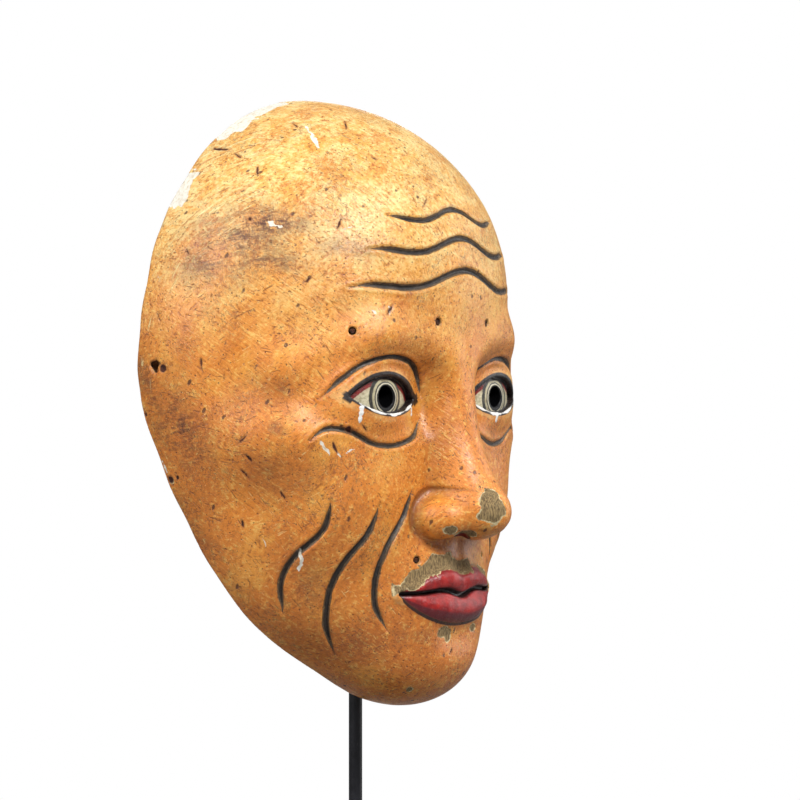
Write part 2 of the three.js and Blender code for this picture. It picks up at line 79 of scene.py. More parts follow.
def eye_arcs(ax, z):
    dx = ax - EX
    dz = z - EZ - 0.035 * dx
    h2 = (EW / 2) ** 2
    r1, r2 = (h2 + E_UP ** 2) / (2 * E_UP), (h2 + E_LO ** 2) / (2 * E_LO)
    return np.sqrt(dx ** 2 + (dz - (E_UP - r1)) ** 2) - r1, np.sqrt(dx ** 2 + (dz - (r2 - E_LO)) ** 2) - r2

def mouthline(ax):
    return -66.4 - 1.2 * np.exp(-(ax / 4.5) ** 2) + 0.9 * np.exp(-((ax - 10) / 6.0) ** 2)

def chain(ax, f, z, pts, k):
    d = None
    for p, q in zip(pts, pts[1:]):
        c = cone(ax, f, z, p[:3], q[:3], p[3], q[3])
        d = c if d is None else (smin(d, c, k) if k else np.minimum(d, c))
    return d

def lips(ax, f, z):
    u = chain(ax, f, z, ((0, 79.3, -62.9, 3.4), (3, 79.8, -62.2, 3.8), (6.5, 79.75, -61.9, 3.9), (10.5, 78.8, -62.4, 3.65), (15, 77.2, -63.6, 3.2), (20, 75.0, -64.9, 2.55), (25, 72.4, -66.0, 1.9)), 0)
    l = chain(ax, f, z, ((0, 78.6, -72.0, 5.0), (4, 78.55, -71.95, 5.05), (8, 78.2, -71.7, 4.95), (12, 77.4, -71.15, 4.55), (16, 76.0, -70.3, 3.85), (20, 74.2, -69.0, 2.9), (24, 72.2, -67.6, 2.0)), 0)
    return u, l

def lip_edges(ax):
    """Painted height over and under the mouth's seam."""
    t = np.clip(ax / 25.0, 0, 1)
    up = 8.3 * (1 - t ** 1.7) ** 0.8 - 1.3 * np.exp(-(ax / 3.0) ** 2) + 0.2
    lo = mouthline(ax) + 66.9 + 10.3 * (1 - t ** 2.2) ** 0.8
    return up, np.maximum(lo, 0.3)

def nostril(ax, f, z):
    return cone(ax, f, z, (6.8, 86.5, -52.5), (6.0, 82.5, -40.0), 3.5, 2.2)

def face(x, f, z):
    ax = np.abs(x)
    d = ell(x, f, z, 0, 6, 18, 78, 72, 90)
    d = smin(d, ell(x, f, z, 0, 32, 46, 50, 45, 44), 30)
    d = smin(d, ell(x, f, z, 0, 20, -34, 62, 54, 60), 26)
    d = smin(d, ell(ax, f, z, 27, 26, -58, 27, 30, 26), 20)
    d = smin(d, ell(x, f, z, 0, 38, -70, 40, 35, 29), 18)
    d = smin(d, ell(x, f, z, 0, 57, -86.5, 25, 22.5, 20), 18)
    d = smin(d, ell(x, f, z, 0, 50, -61, 30, 28, 24), 16)
    d = smin(d, ell(ax, f, z, 44, 41, -13, 22, 22, 13), 16)
    d = smin(d, ell(ax, f, z, 33, 50, -36, 18, 19, 19), 16)
    d = smin(d, cone(ax, f, z, (6, 72, 15), (32, 68, 20.5), 5.5, 5.0), 13)
    d = smin(d, cone(ax, f, z, (32, 68, 20.5), (56, 50, 12), 5.0, 4.6), 13)
    d = smax(d, -ell(ax, f, z, 30, 87, 2.5, 20, 16.5, 13.5), 10)
    d = smax(d, -ell(ax, f, z, 16.0, 80, 0, 6, 8, 10), 7)
    d = smin(d, cone(x, f, z, (0, 70.5, 16), (0, 86, -30), 6.4, 7.4), 10)
    d = smin(d, cone(x, f, z, (0, 74, -18), (0, 85, -37), 8.5, 10.4), 7)
    d = smin(d, ell(x, f, z, 0, 90.5, -38.5, 9.8, 10.2, 8.8), 5)
    wx = (ax - 11.6) * 0.94 + (f - 80.5) * 0.34
    wf = -(ax - 11.6) * 0.34 + (f - 80.5) * 0.94
    d = smin(d, ell(wx, wf, z, 0, 0, -40.6, 6.3, 10.6, 7.2), 2.6)
    eb = ell(ax, f, z, 29.8, 54.6, EZ, 22.0, 18.8, 18.5)
    d = smin(d, smax(eb - 2.3, np.abs(z - EZ) - 13, 6), 5)
    d = smax(d, -ell(x, f, z, 0, 88, -82.5, 20, 8.0, 4.8), 7)
    u, l = lips(ax, f, z)
    d = smin(d, u, 1.8)
    d = smin(d, l, 1.8)
    sl = np.sqrt((z - mouthline(ax)) ** 2 + np.maximum(ax - 25.0, 0) ** 2)
    d = smax(d, -np.maximum(sl - 0.6, (79.4 - 7.2 * (ax / 24.5) ** 2) - f), 1.3)
    d = smax(d, -cone(x, f, z, (0, 82.4, -49), (0, 83.0, -57), 2.6, 3.0), 3.0)
    d = smax(d, -nostril(ax, f, z), 1.4)
    e1, e2 = eye_arcs(ax, z)
    al = np.maximum(e1, e2)
    d = smax(d, -np.maximum(al, 60 - f), 0.7)
    d = np.minimum(d, smax(eb, al - 3, 1.0))
    return d

def rimf(z):
    t, u = np.clip(-z / 108.0, 0, 1.2), np.clip(z / 108.0, 0, 1.2)
    return 47.0 * t ** 1.35 + 9.0 * u ** 2.2

def hollow(x, f, z):
    d = ell(x, f, z, 0, 0, 16, 67.5, 64, 80.5)
    d = smin(d, ell(x, f, z, 0, 14, -34, 52, 46, 52), 22)
    d = smin(d, ell(x, f, z, 0, 42, -74, 24, 22, 18), 16)
    d = smin(d, cone(x, f, z, (0, 58, 4), (0, 70, -34), 5, 8), 8)
    return d

def seat(x, z):
    """Where a nail at (x, z) crosses the painted face, and its direction."""
    c, d = np.array([0.0, 15.0, z * 0.9]), np.array([x, 62.0, z * 0.1])
    d /= np.linalg.norm(d)
    t = 120.0
    for _ in range(400):
        p = c + d * t
        v = float(face(p[0], p[1], p[2]))
        t -= v * 0.7
        if abs(v) < 1e-3:
            break
    return c + d * t, d

NAILS = {(x, z): seat(x, z) for x, z in ((13, 27), (52, 24), (19, -55))}

def pupil(ax, f, z):
    return np.sqrt((ax - EX) ** 2 + (z - EZ - 0.4 * np.maximum(73.4 - f, 0)) ** 2)

def mask_field(x, f, z):
    a = face(x, f, z)
    a = smax(a, -hollow(x, f, z), 1.5)
    wob = 0.5 * np.sin(z * 0.11 + 0.6) * np.sin(np.abs(x) * 0.06) + 0.25 * np.sin(z * 0.31 + x * 0.07)
    a = smax(a, rimf(z) + wob - f, 1.1)
    ax = np.abs(x)
    a = smax(a, -(pupil(ax, f, z) - np.clip(PUP_R - (73.4 - f) * 0.15, 1.7, PUP_R)), 0.5)
    for p, d in NAILS.values():
        a = smax(a, -cone(ax, f, z, tuple(p - d * 7), tuple(p + d * 6), 1.3, 1.45), 0.3)
    tie = np.sqrt(((f - 8) / 0.9) ** 2 + (z - 12) ** 2) - 2.1 - 0.35 * np.sin(3 * np.arctan2(z - 12, f - 8) + ax * 0.4)
    a = smax(a, -np.maximum(tie, 50 - ax), 0.4)
    return a

# ---------------------------------------------------------------- noise for placing wear
def _hash(ix, iy, iz, seed):
    h = (ix * 374761393 + iy * 668265263 + iz * 1440662683 + seed * 974634777) & 0xFFFFFFFF
    h = ((h ^ (h >> 13)) * 1274126177) & 0xFFFFFFFF
    h = ((h ^ (h >> 16)) * 2246822519) & 0xFFFFFFFF
    return ((h ^ (h >> 15)) & 0xFFFFFF) / float(0xFFFFFF)

def vnoise(p, scale, seed=0):
    q = p / scale
    i = np.floor(q).astype(np.int64)
    w = q - i
    w = w * w * (3 - 2 * w)
    out = np.zeros(len(p))
    for a in (0, 1):
        for b in (0, 1):
            for c in (0, 1):
                k = (w[:, 0] if a else 1 - w[:, 0]) * (w[:, 1] if b else 1 - w[:, 1]) * (w[:, 2] if c else 1 - w[:, 2])
                out += k * _hash(i[:, 0] + a, i[:, 1] + b, i[:, 2] + c, seed)
    return out * 2 - 1

def fbm(p, scale, octaves=3, seed=0, gain=0.5):
    out, amp, tot = np.zeros(len(p)), 1.0, 0.0
    for o in range(octaves):
        out += amp * vnoise(p, scale / 2 ** o, seed + 17 * o)
        tot += amp
        amp *= gain
    return out / tot

def sstep(a, b, v):
    t = np.clip((v - a) / (b - a), 0, 1)
    return t * t * (3 - 2 * t)

# ---------------------------------------------------------------- surface points of the mask
def axis(lo, hi, h):
    n = int(round((hi - lo) / h))
    return lo + h * np.arange(n + 1)

def band_values():
    """Distances on a VOX grid for x >= 0, worked out only near the surface, coarse to fine."""
    span = ((0, 84.0), (-4.8, 105.6), (-112.8, 112.8))
    prev = None
    for lvl, thr in ((4, None), (2, 5.2), (1, 2.4)):
        h = VOX * lvl
        ax_ = [axis(lo, hi, h) for lo, hi in span]
        shape = tuple(len(a) for a in ax_)
        if prev is None:
            gx, gf, gz = np.meshgrid(*ax_, indexing="ij")
            vals = mask_field(gx.astype(F32), gf.astype(F32), gz.astype(F32)).astype(F32)
        else:
            idx = [np.minimum(np.arange(n) // 2, prev.shape[k] - 1) for k, n in enumerate(shape)]
            vals = prev[np.ix_(*idx)].copy()
            sel = np.nonzero(np.abs(vals) < thr)
            vals[sel] = mask_field(ax_[0][sel[0]].astype(F32), ax_[1][sel[1]].astype(F32), ax_[2][sel[2]].astype(F32))
        prev = vals
    return prev, span

def grad(fn, p, e=0.12):
    g = np.empty_like(p)
    for k in range(3):
        o = np.zeros(3); o[k] = e
        a, b = p + o, p - o
        g[:, k] = (fn(a[:, 0], a[:, 1], a[:, 2]) - fn(b[:, 0], b[:, 1], b[:, 2])) / (2 * e)
    return g

def mask_surface():
    half, span = band_values()
    full = np.concatenate([half[:0:-1], half], axis=0)
    g = vdb.FloatGrid(3.0)
    g.copyFromArray(np.ascontiguousarray(np.clip(full, -3, 3)))
    pts, quads = g.convertToQuads(0.0)
    pts = np.asarray(pts, float)
    quads = np.asarray(quads, np.int64)
    p = np.empty_like(pts)
    p[:, 0] = (pts[:, 0] - (half.shape[0] - 1)) * VOX
    p[:, 1] = span[1][0] + pts[:, 1] * VOX
    p[:, 2] = span[2][0] + pts[:, 2] * VOX
    for _ in range(2):
        d = mask_field(p[:, 0], p[:, 1], p[:, 2])
        n = grad(mask_field, p)
        n2 = np.maximum((n * n).sum(1), 0.2)
        step = np.clip(d / n2, -0.4, 0.4)
        p -= n * step[:, None]
    n = grad(mask_field, p)
    n /= np.maximum(np.linalg.norm(n, axis=1), 1e-6)[:, None]
    a, b, c = p[quads[:, 0]], p[quads[:, 1]], p[quads[:, 2]]
    if (np.cross(b - a, c - a) * n[quads[:, 0]]).sum() < 0:
        quads = quads[:, ::-1]
    return p, n, np.ascontiguousarray(quads)

P, NRM, QUADS = mask_surface()
print("mask surface", len(P), "points", len(QUADS), "quads")
X, F, Z = P[:, 0], P[:, 1], P[:, 2]
AX = np.abs(X)
A = {}                                             # what the paint needs to know, per point, in mm

# ---------------------------------------------------------------- where is what
A["out"] = -face(X, F, Z)                          # depth below the painted face
A["hol"] = hollow(X, F, Z)                         # depth below the hollow's surface
OUT = A["out"] < 1.2
e1, e2 = eye_arcs(AX, Z)
front = F > 50
A["e1"] = np.where(front, e1, 9.0)
A["e2"] = np.where(front, e2, 9.0)
A["pup"] = np.where(front, np.where(A["out"] > 0.8, pupil(AX, F, Z), np.sqrt((AX - EX) ** 2 + (Z - EZ) ** 2)), 99.0)
seam = Z - mouthline(AX)                           # height over the mouth's seam
up_, lo_ = lip_edges(AX)
A["lip"] = np.where((F > 60) & (AX < 27.5), np.maximum(seam - up_, -seam - lo_) + np.maximum(AX - 24.5, 0) * 0.8, 9.0)
A["lipd"] = seam
A["lipu"], A["lipo"] = seam / np.maximum(up_, 0.5), -seam / np.maximum(lo_, 0.5)
A["nos"] = nostril(AX, F, Z)
r = 3.5
# how far the surface dips within 3.5 mm; the paint darkens there as grime and as painted shade in the recesses
A["recess_grime_shade"] = np.clip((r - face(*(P + NRM * r).T)) / r, 0, 1) * OUT
A["edge"] = np.clip((r + face(*(P - NRM * r).T)) / r, 0, 1) * OUT

# ---------------------------------------------------------------- carved lines: (across, height, half width)
def on_face(ax, z):
    """f of the painted surface straight in front of each (ax, z)."""
    f = np.full(len(ax), 112.0)
    for _ in range(90):
        f -= np.maximum(face(ax, f, z), -0.5) * 0.6
    return f

def smooth_path(ctrl, n):
    c = np.array(ctrl, float)
    t = np.linspace(0, len(c) - 1, n)
    out = []
    for v in t:
        i = min(int(v), len(c) - 2); u = v - i
        p0, p1, p2, p3 = c[max(i - 1, 0)], c[i], c[i + 1], c[min(i + 2, len(c) - 1)]
        out.append(0.5 * ((2 * p1) + (-p0 + p2) * u + (2 * p0 - 5 * p1 + 4 * p2 - p3) * u * u + (-p0 + 3 * p1 - 3 * p2 + p3) * u ** 3))
    return np.array(out)

def taper(n, a=0.16, b=0.16, lo=0.12):
    t = np.linspace(0, 1, n)
    return lo + (1 - lo) * np.minimum(sstep(0, a, t), sstep(0, b, 1 - t))

LINES = []
def carved(ctrl, w, n=46, a=0.2, b=0.2, sides=(1, -1)):
    c = smooth_path(ctrl, n)
    wid = w * taper(n, a, b)
    for s in sides:
        LINES.append((np.column_stack([s * c[:, 0], on_face(np.abs(c[:, 0]), c[:, 1]), c[:, 1]]), wid))

for z0, half, amp, per, w in ((43.0, 46.0, 2.3, 46.0, 1.15), (54.5, 39.0, 2.1, 40.0, 1.1), (65.0, 30.0, 1.8, 33.0, 1.0)):
    xs = np.linspace(-half, half, 17)
    carved([(x, z0 + amp * math.cos(2 * math.pi * x / per) - 0.0032 * x * x) for x in xs], w, n=80, a=0.12, b=0.12, sides=(1,))
carved([(12.6, 1.5), (15.5, 8.8), (23, 13.6), (32, 14.9), (42, 12.4), (49.5, 6.8), (54, 1.0)], 0.95)
carved([(13.8, -6.5), (19, -12.0), (27.5, -15.2), (37, -14.6), (46, -10.5), (53.5, -9.6), (58.5, -13.5)], 0.9)
carved([(20.4, -31), (23.8, -40), (29.2, -49), (32.0, -59), (31.4, -70), (27.0, -79)], 1.15, a=0.15)
carved([(35, -35), (37.8, -45), (42.2, -54), (43.6, -65), (41.0, -77), (34.0, -88)], 1.2)
carved([(50.5, -34), (51.0, -44), (54.2, -53), (54.2, -63), (50.6, -73)], 1.1)

# a carved crease round each nose wing, left unpainted; the paint gives it a soft brown painted shade
CREASES, painted_lines = [], LINES
LINES = CREASES
carved([(8.6, -30.8), (12.8, -30.6), (17.2, -33.2), (19.9, -38.2), (19.6, -43.6), (16.6, -47.6)], 1.0, a=0.25, b=0.2)
LINES = painted_lines

def to_lines(lines, pts, reach):
    """Signed distance from each point to the nearest line, less that line's half width there."""
    best = np.full(len(pts), 9.0)
    for c, w in lines:
        lo, hi = c.min(0) - reach, c.max(0) + reach
        sel = np.nonzero(((pts > lo) & (pts < hi)).all(1))[0]
        q = pts[sel]
        b = best[sel]
        for i in range(len(c) - 1):
            d = c[i + 1] - c[i]
            t = np.clip(((q - c[i]) @ d) / max(d @ d, 1e-9), 0, 1)
            dist = np.linalg.norm(q - (c[i] + t[:, None] * d), axis=1) - (w[i] + (w[i + 1] - w[i]) * t)
            b = np.minimum(b, dist)
        best[sel] = b
    return best

outer_ids = np.nonzero(OUT)[0]
line = np.full(len(P), 9.0)
line[outer_ids] = to_lines(LINES, P[outer_ids] + 0.12 * np.column_stack([vnoise(P[outer_ids], 2.2, 5 + k) for k in range(3)]), 5.0)
A["line"] = line
crease = np.full(len(P), 9.0)
crease[outer_ids] = to_lines(CREASES, P[outer_ids], 4.0)
A["crease"] = crease
print("lines done")

# ---------------------------------------------------------------- wear: chips, nicks, stains
VIEW_D = np.array([0.788, -0.616, 0.0])            # three-quarter view from the mask's right
VIEW_R = np.array([0.616, 0.788, 0.0])

def seen(u, z):
    """The surface point at u mm across and z mm up in the three-quarter view."""
    p = VIEW_R * u + np.array([0, 0, z]) - VIEW_D * 160.0
    t = 0.0
    for _ in range(160):
        q = p + VIEW_D * t
        d = float(face(q[0], q[1], q[2]))
        if abs(d) < 0.01:
            break
        t += d * 0.7
    return p + VIEW_D * t

def blob(c, r, pts, stretch=None):
    """1 at the centre, 0 at the edge, negative outside."""
    q = pts - np.array(c)
    rr = np.array(r if np.ndim(r) else (r, r, r), float)
    return 1 - np.sqrt(((q / rr) ** 2).sum(1))

n1 = fbm(P, 5.0, 4, 11)
n2 = fbm(P, 1.6, 3, 31)
chip = np.full(len(P), -9.0)                       # > 0 is bare wood, mm in from the chip's edge
def wood_patch(c, r, rough=1.0):
    global chip
    rr = float(np.mean(r))
    chip = np.maximum(chip, blob(c, r, P) * rr + (n1 * 1.7 + n2 * 0.7) * rough)
tip = (-5.2, 99.0, -36.5)
wood_patch(tip, (4.4, 6.0, 6.6), 1.25)
wood_patch((-4.0, 99.5, -31.5), (2.6, 5.0, 3.4), 1.0)
wood_patch((-9.2, 90.5, -46.4), (4.2, 4.5, 1.9), 0.9)
wood_patch((-13.5, 87.5, -44.6), (2.0, 3.0, 1.5), 0.8)
top_ = mouthline(AX) + lip_edges(AX)[0]            # strip over the upper lip, where the moustache was glued
band = np.where(X < 8, 5.4, 3.6) * (1 - 0.55 * np.clip(np.abs(X + 8) / 20, 0, 1) ** 2)
strip = np.minimum(Z - top_ + 0.6, top_ + band - Z) + n1 * 2.4 + n2 * 1.1 + 0.8 * np.sin(X * 0.55) * np.sin(X * 0.21)
strip = np.minimum(strip, (26.0 - np.abs(X + 1.5)) * 0.6)
strip = np.where((X > 6) & (n1 < 0.1), strip - 2.2, strip)
chip = np.maximum(chip, np.where((F > 62) & (Z > -72) & (Z < -48), strip, -9.0))
for xx, zz, rr in ((-7.0, -80.2, (3.4, 4.0, 2.2)), (-4.2, -81.6, (2.0, 4.0, 2.8)), (10.5, -79.6, (2.2, 4.0, 1.6))):
    wood_patch((xx, float(on_face(np.array([abs(xx)]), np.array([zz]))[0]), zz), rr, 0.7)
for u, z, rr in ((46.0, -100.5, 1.2), (-36.0, -27.5, 1.1)):
    wood_patch(seen(u, z), rr, 0.4)
chip[~OUT] = -9.0
A["chip"] = chip

gess = np.full(len(P), -9.0)                       # > 0 is white gesso under lost paint
def gesso_patch(c, r, rough=1.0):
    global gess
    rr = float(np.mean(r))
    gess = np.maximum(gess, blob(c, r, P) * rr + (n1 * 2.2 + n2 * 0.8) * rough)
rim_d = F - rimf(Z)                                # mm forward of the rim
for x0, z0, w, hgt in ((-27, 100, 8.5, 14), (-37, 94, 5.5, 8), (-60, 73, 6.5, 7.5)):
    side = 1 - np.sqrt(((X - x0) / hgt) ** 2 + ((Z - z0) / hgt) ** 2)
    gess = np.maximum(gess, np.minimum(side * hgt * 0.6, w - rim_d) + n1 * 2.8 + n2 * 1.3)
WHITE = []                                         # pale cuts that show the gesso
for u0, z0, u1, z1, w in (
    (9.4, 97.0, 11.6, 93.2, 0.55), (11.2, 94.0, 14.6, 87.6, 1.0), (-2.4, 61.2, 0.4, 59.8, 0.9), (0.2, 60.0, 2.6, 59.2, 0.5), (15.2, -12.6, 18.6, -18.4, 0.6),
    (20.6, -15.6, 22.8, -19.6, 0.35), (-39.4, -20.6, -37.6, -24.8, 0.45), (8.2, -50.6, 9.4, -56.0, 0.8), (9.0, -55.4, 8.0, -58.2, 0.6), (24.0, -17.8, 27.6, -16.2, 0.35),
    (33.0, 31.2, 34.6, 29.6, 0.5), (39.0, 32.6, 39.4, 29.8, 0.55), (22, 58.0, 27, 59.4, 0.35), (-41.0, 44.0, -40.0, 41.0, 0.4), (31.0, 40.0, 33.2, 40.6, 0.3),
    (-4.0, -47.0, -2.6, -50.6, 0.3), (47.4, -99.0, 45.0, -101.0, 0.5)):
    a, b = seen(u0, z0), seen(u1, z1)
    WHITE.append((np.array([a, (a + b) / 2, b]), np.array([w * 0.35, w, w * 0.45])))
gesso_patch((4.5, 99.5, -44.5), (2.6, 2.6, 2.0), 0.6)


NICKS = []                                         # short cuts: start and end (u, z) in the three-quarter view, half width
for u0, z0, u1, z1, w in (
    (-22.5, 88.2, -17.5, 87.6, 0.65), (5.0, 97.5, 6.6, 95.6, 0.4), (23.3, 98.5, 24.0, 95.0, 0.4), (-6.6, 80.8, -6.2, 77.6, 0.55),
    (22.6, 62.0, 21.4, 58.6, 0.45), (-25.0, 14.4, -25.0, 11.2, 0.5), (-14.5, 86.0, -12.5, 84.2, 0.35), (-12.2, -14.6, -9.6, -11.8, 0.4),
    (-9.6, -18.2, -7.4, -20.6, 0.55), (-11.5, -23.0, -8.6, -25.8, 0.4), (-11.4, -40.6, -10.8, -43.2, 0.5), (20.0, -14.2, 21.6, -17.6, 0.55),
    (40.2, 33.0, 38.6, 29.4, 0.5), (30.0, -8.2, 31.4, -10.2, 0.35), (2.2, -31.0, 3.6, -33.4, 0.4), (-30.5, 52.0, -29.6, 50.2, 0.35),
    (44.0, 88.0, 45.4, 86.6, 0.3), (52.0, 70.0, 51.0, 67.6, 0.35), (33.0, 84.5, 34.6, 83.6, 0.3), (10.0, 40.0, 12.4, 41.8, 0.35),
    (-34.0, -38.8, -34.2, -41.0, 0.7), (24.8, -9.6, 26.2, -10.8, 0.7), (-40.6, 30.0, -39.6, 27.6, 0.3), (60.0, -88.0, 61.0, -86.4, 0.4)):
    a, b = seen(u0, z0), seen(u1, z1)
    NICKS.append((np.array([a, (a + b) / 2, b]), np.array([w * 0.5, w, w * 0.5])))
for u, z, w in ((-38.5, 10.9, 1.15), (-36.4, -27.4, 0.9), (-33.8, -26.6, 0.6), (-36.0, -39.2, 0.8), (25.4, -9.8, 0.8), (66.0, -97.5, 1.0), (-8.5, 62.0, 0.5), (-45, -5, 0.4)):
    a = seen(u, z)
    NICKS.append((np.array([a, a + (0, 0, 0.5)]), np.array([w, w])))
# the far side has its own, strewn by chance
FLIP = np.array([-1.0, 1.0, 1.0])
for _ in range(26):
    u, z = rng.uniform(-36, 20), rng.uniform(-66, 88)
    if abs(u + 8) > 30 * math.sqrt(max(0.05, 1 - (z / 104) ** 2)):
        continue
    ang, ln_mm, w = rng.uniform(0, math.pi), rng.uniform(0.6, 3.4), rng.uniform(0.28, 0.6)
    a, b = seen(u, z) * FLIP, seen(u + ln_mm * math.cos(ang), z + ln_mm * math.sin(ang)) * FLIP
    (WHITE if rng.random() < 0.28 else NICKS).append((np.array([a, (a + b) / 2, b]), np.array([w * 0.5, w, w * 0.5])))
nick = np.full(len(P), 9.0)
nick[outer_ids] = to_lines(NICKS, P[outer_ids] + 0.3 * np.column_stack([vnoise(P[outer_ids], 1.3, 50 + k) for k in range(3)]), 3.0)
A["nick"] = nick
cut = to_lines(WHITE, P[outer_ids] + 0.55 * np.column_stack([vnoise(P[outer_ids], 1.5, 40 + k) for k in range(3)]), 3.0)
gess[outer_ids] = np.maximum(gess[outer_ids], -cut)
gess[~OUT] = -9.0
A["gess"] = gess

stain = np.zeros(len(P))
for u, z, ru, rz, s in ((-3, 61, 14, 5.5, 0.9), (-12, 55, 16, 8, 0.8), (-20, 47, 14, 7, 0.7), (-2, 47, 13, 4, 0.75), (-33, -10, 10, 14, 0.8), (-43, 4, 5, 20, 0.55),
                        (-6, 2, 10, 7, 0.25), (0, -24, 14, 9, 0.3), (3.5, 4.0, 3.2, 3.2, 0.5), (1.2, -9.4, 2.6, 2.6, 0.55), (26, 52, 16, 3.5, 0.5), (10, -62, 10, 14, 0.4),
                        (-30, -45, 12, 20, 0.35), (48, -82, 14, 6, 0.35), (30, -84, 16, 9, 0.35)):
    c = seen(u, z)
    q = P - c
    du, dv, dz = q @ VIEW_R, q @ VIEW_D, q[:, 2]
    stain = np.maximum(stain, s * np.exp(-((du + 0.4 * dz) / ru) ** 2 - (dv / (ru * 1.3)) ** 2 - (dz / rz) ** 2))
for u, z, ru, rz, s in ((-8, 66, 13, 8, 0.6), (-24, 30, 12, 14, 0.5), (-30, -6, 10, 16, 0.6), (-14, -34, 13, 10, 0.35), (6, 40, 12, 5, 0.4), (-26, -58, 12, 14, 0.45), (4, -70, 14, 8, 0.35)):
    c = seen(u, z) * FLIP
    q = P - c
    stain = np.maximum(stain, s * np.exp(-((q[:, 0] * 0.616 + q[:, 1] * -0.788 + 0.3 * q[:, 2]) / ru) ** 2 - ((q[:, 0] * 0.788 + q[:, 1] * 0.616) / (ru * 1.3)) ** 2 - (q[:, 2] / rz) ** 2))
A["stain"] = stain * OUT

# white paint run along the lower lids, with a drip
glue = np.full(len(P), 9.0)
def glue_line(ctrl, w, sides):
    c = smooth_path(ctrl, 40)
    wid = w * (0.75 + 0.35 * np.sin(np.linspace(0, 19, 40))) * taper(40, 0.1, 0.1, 0.3)
    for s in sides:
        yield np.column_stack([s * c[:, 0], on_face(c[:, 0], c[:, 1]), c[:, 1]]), wid
lid = [(EX + dx, EZ + 0.035 * dx - E_LO * (1 - (dx / (EW / 2)) ** 2) - 0.35) for dx in np.linspace(-13.5, 13.0, 9)]
gl = list(glue_line(lid, 0.62, (-1, 1)))
gl += list(glue_line([(43.6, -2.0), (43.5, -4.6), (43.6, -7.4)], 0.85, (-1,)))
gl += list(glue_line([(19.2, -1.6), (18.4, -3.6), (18.6, -5.4)], 0.6, (-1,)))
gl += list(glue_line([(29.6, -5.2), (29.8, -7.4)], 0.7, (1,)))
glue[outer_ids] = to_lines(gl, P[outer_ids] + 0.25 * np.column_stack([vnoise(P[outer_ids], 1.7, 70 + k) for k in range(3)]), 3.0)
A["glue"] = glue

# ---------------------------------------------------------------- carve all that into the shape
lift = np.zeros(len(P))
soft = OUT & (A["e1"] > -0.5)
lift += np.where(OUT, 0.22 * fbm(P, 19.0, 2, 3) + 0.05 * fbm(P, 5.0, 2, 9), 0)
lift -= np.where(OUT, 1.45 * (1 - sstep(-1.15, 0.5, line)), 0)
lift -= np.where(OUT, 0.7 * (1 - sstep(-1.0, 0.9, crease)), 0)
lift += np.where(OUT, 0.16 * np.exp(-((line - 1.1) / 0.7) ** 2), 0)
lift -= 0.30 * sstep(-0.25, 0.35, chip) + 0.16 * sstep(-0.2, 0.3, gess)
lift -= 0.45 * (1 - sstep(-0.35, 0.25, nick))
lift += 0.42 * (1 - sstep(-0.8, 0.3, glue))
# vertical fibres in the bare wood
fib = vnoise(np.column_stack([X * 1.0, F * 1.0, Z * 0.12]), 0.9, 90)
lift += 0.09 * fib * sstep(0.0, 0.6, chip)
# gouge marks in the hollow: scallops in rows down the wood
inn = sstep(2.2, 0.6, A["hol"]) * (1 - sstep(0.2, 1.4, -A["out"] + 0.0)) * (A["out"] > 3)
th = np.arctan2(X, F + 30.0)
qa, qb = th * 62.0 / 8.5, (Z + 1.5 * np.sin(X * 0.05)) / 15.0
best = np.full(len(P), 9.0)
ia, ib = np.floor(qa).astype(np.int64), np.floor(qb).astype(np.int64)
for da in (-1, 0, 1):
    for db in (-1, 0, 1):
        ca, cb = ia + da, ib + db
        ja = _hash(ca, cb, np.zeros_like(ca), 1) * 0.5 + 0.25
        jb = _hash(ca, cb, np.zeros_like(ca), 2) * 0.7 + 0.15
        d2 = ((ca + ja - qa) / 0.75) ** 2 + ((cb + jb - qb) / 0.8) ** 2
        best = np.minimum(best, d2 - 0.25 * _hash(ca, cb, np.zeros_like(ca), 3))
scal = np.clip(best, 0, 1.2)
A["scal"] = scal * inn
keep = np.ones(len(P))                             # cut less where the stand's pads bear on the wood
for c in ((0, 45.5, 71.3), (-51.2, 39.6, 9.5), (51.2, 39.6, 9.5)):
    keep = np.minimum(keep, 0.25 + 0.75 * sstep(5.0, 11.0, np.linalg.norm(P - np.array(c), axis=1)))
lift += inn * keep * (1.35 * np.clip(best, 0, 1.05) - 0.95)
A["inn"] = inn
lift += np.where(~OUT & (inn < 0.5), 0.12 * fbm(np.column_stack([X, F * 0.25, Z]), 2.4, 3, 61), 0)
P2 = P + NRM * lift[:, None]
A["lift"] = lift

def mm_to_world(p):
    return np.column_stack([p[:, 0], ROD_F - p[:, 1], MASK_Z + p[:, 2]]) * 0.001

def mesh_object(name, verts, quads, attrs=None):
    m = bpy.data.meshes.new(name)
    m.vertices.add(len(verts))
    m.vertices.foreach_set("co", np.ascontiguousarray(verts, F32).ravel())
    m.loops.add(quads.size)
    m.loops.foreach_set("vertex_index", quads.ravel().astype(np.int32))
    m.polygons.add(len(quads))
    m.polygons.foreach_set("loop_start", (np.arange(len(quads)) * quads.shape[1]).astype(np.int32))
    m.polygons.foreach_set("use_smooth", np.ones(len(quads), bool))
    m.update(calc_edges=True)
    m.validate()
    for k, v in (attrs or {}).items():
        a = m.attributes.new(k, "FLOAT", "POINT")
        a.data.foreach_set("value", np.ascontiguousarray(v, F32))
    o = bpy.data.objects.new(name, m)
    bpy.context.scene.collection.objects.link(o)
    return o

# the f axis points along -Y, which mirrors the frame, so the faces turn round
mask = mesh_object("carved_mask", mm_to_world(P2), QUADS[:, ::-1], A)

# ---------------------------------------------------------------- node helpers
def lin(r, g, b):
    def c(v):
        v /= 255.0
        return v / 12.92 if v <= 0.04045 else ((v + 0.055) / 1.055) ** 2.4
    return (c(r), c(g), c(b), 1.0)

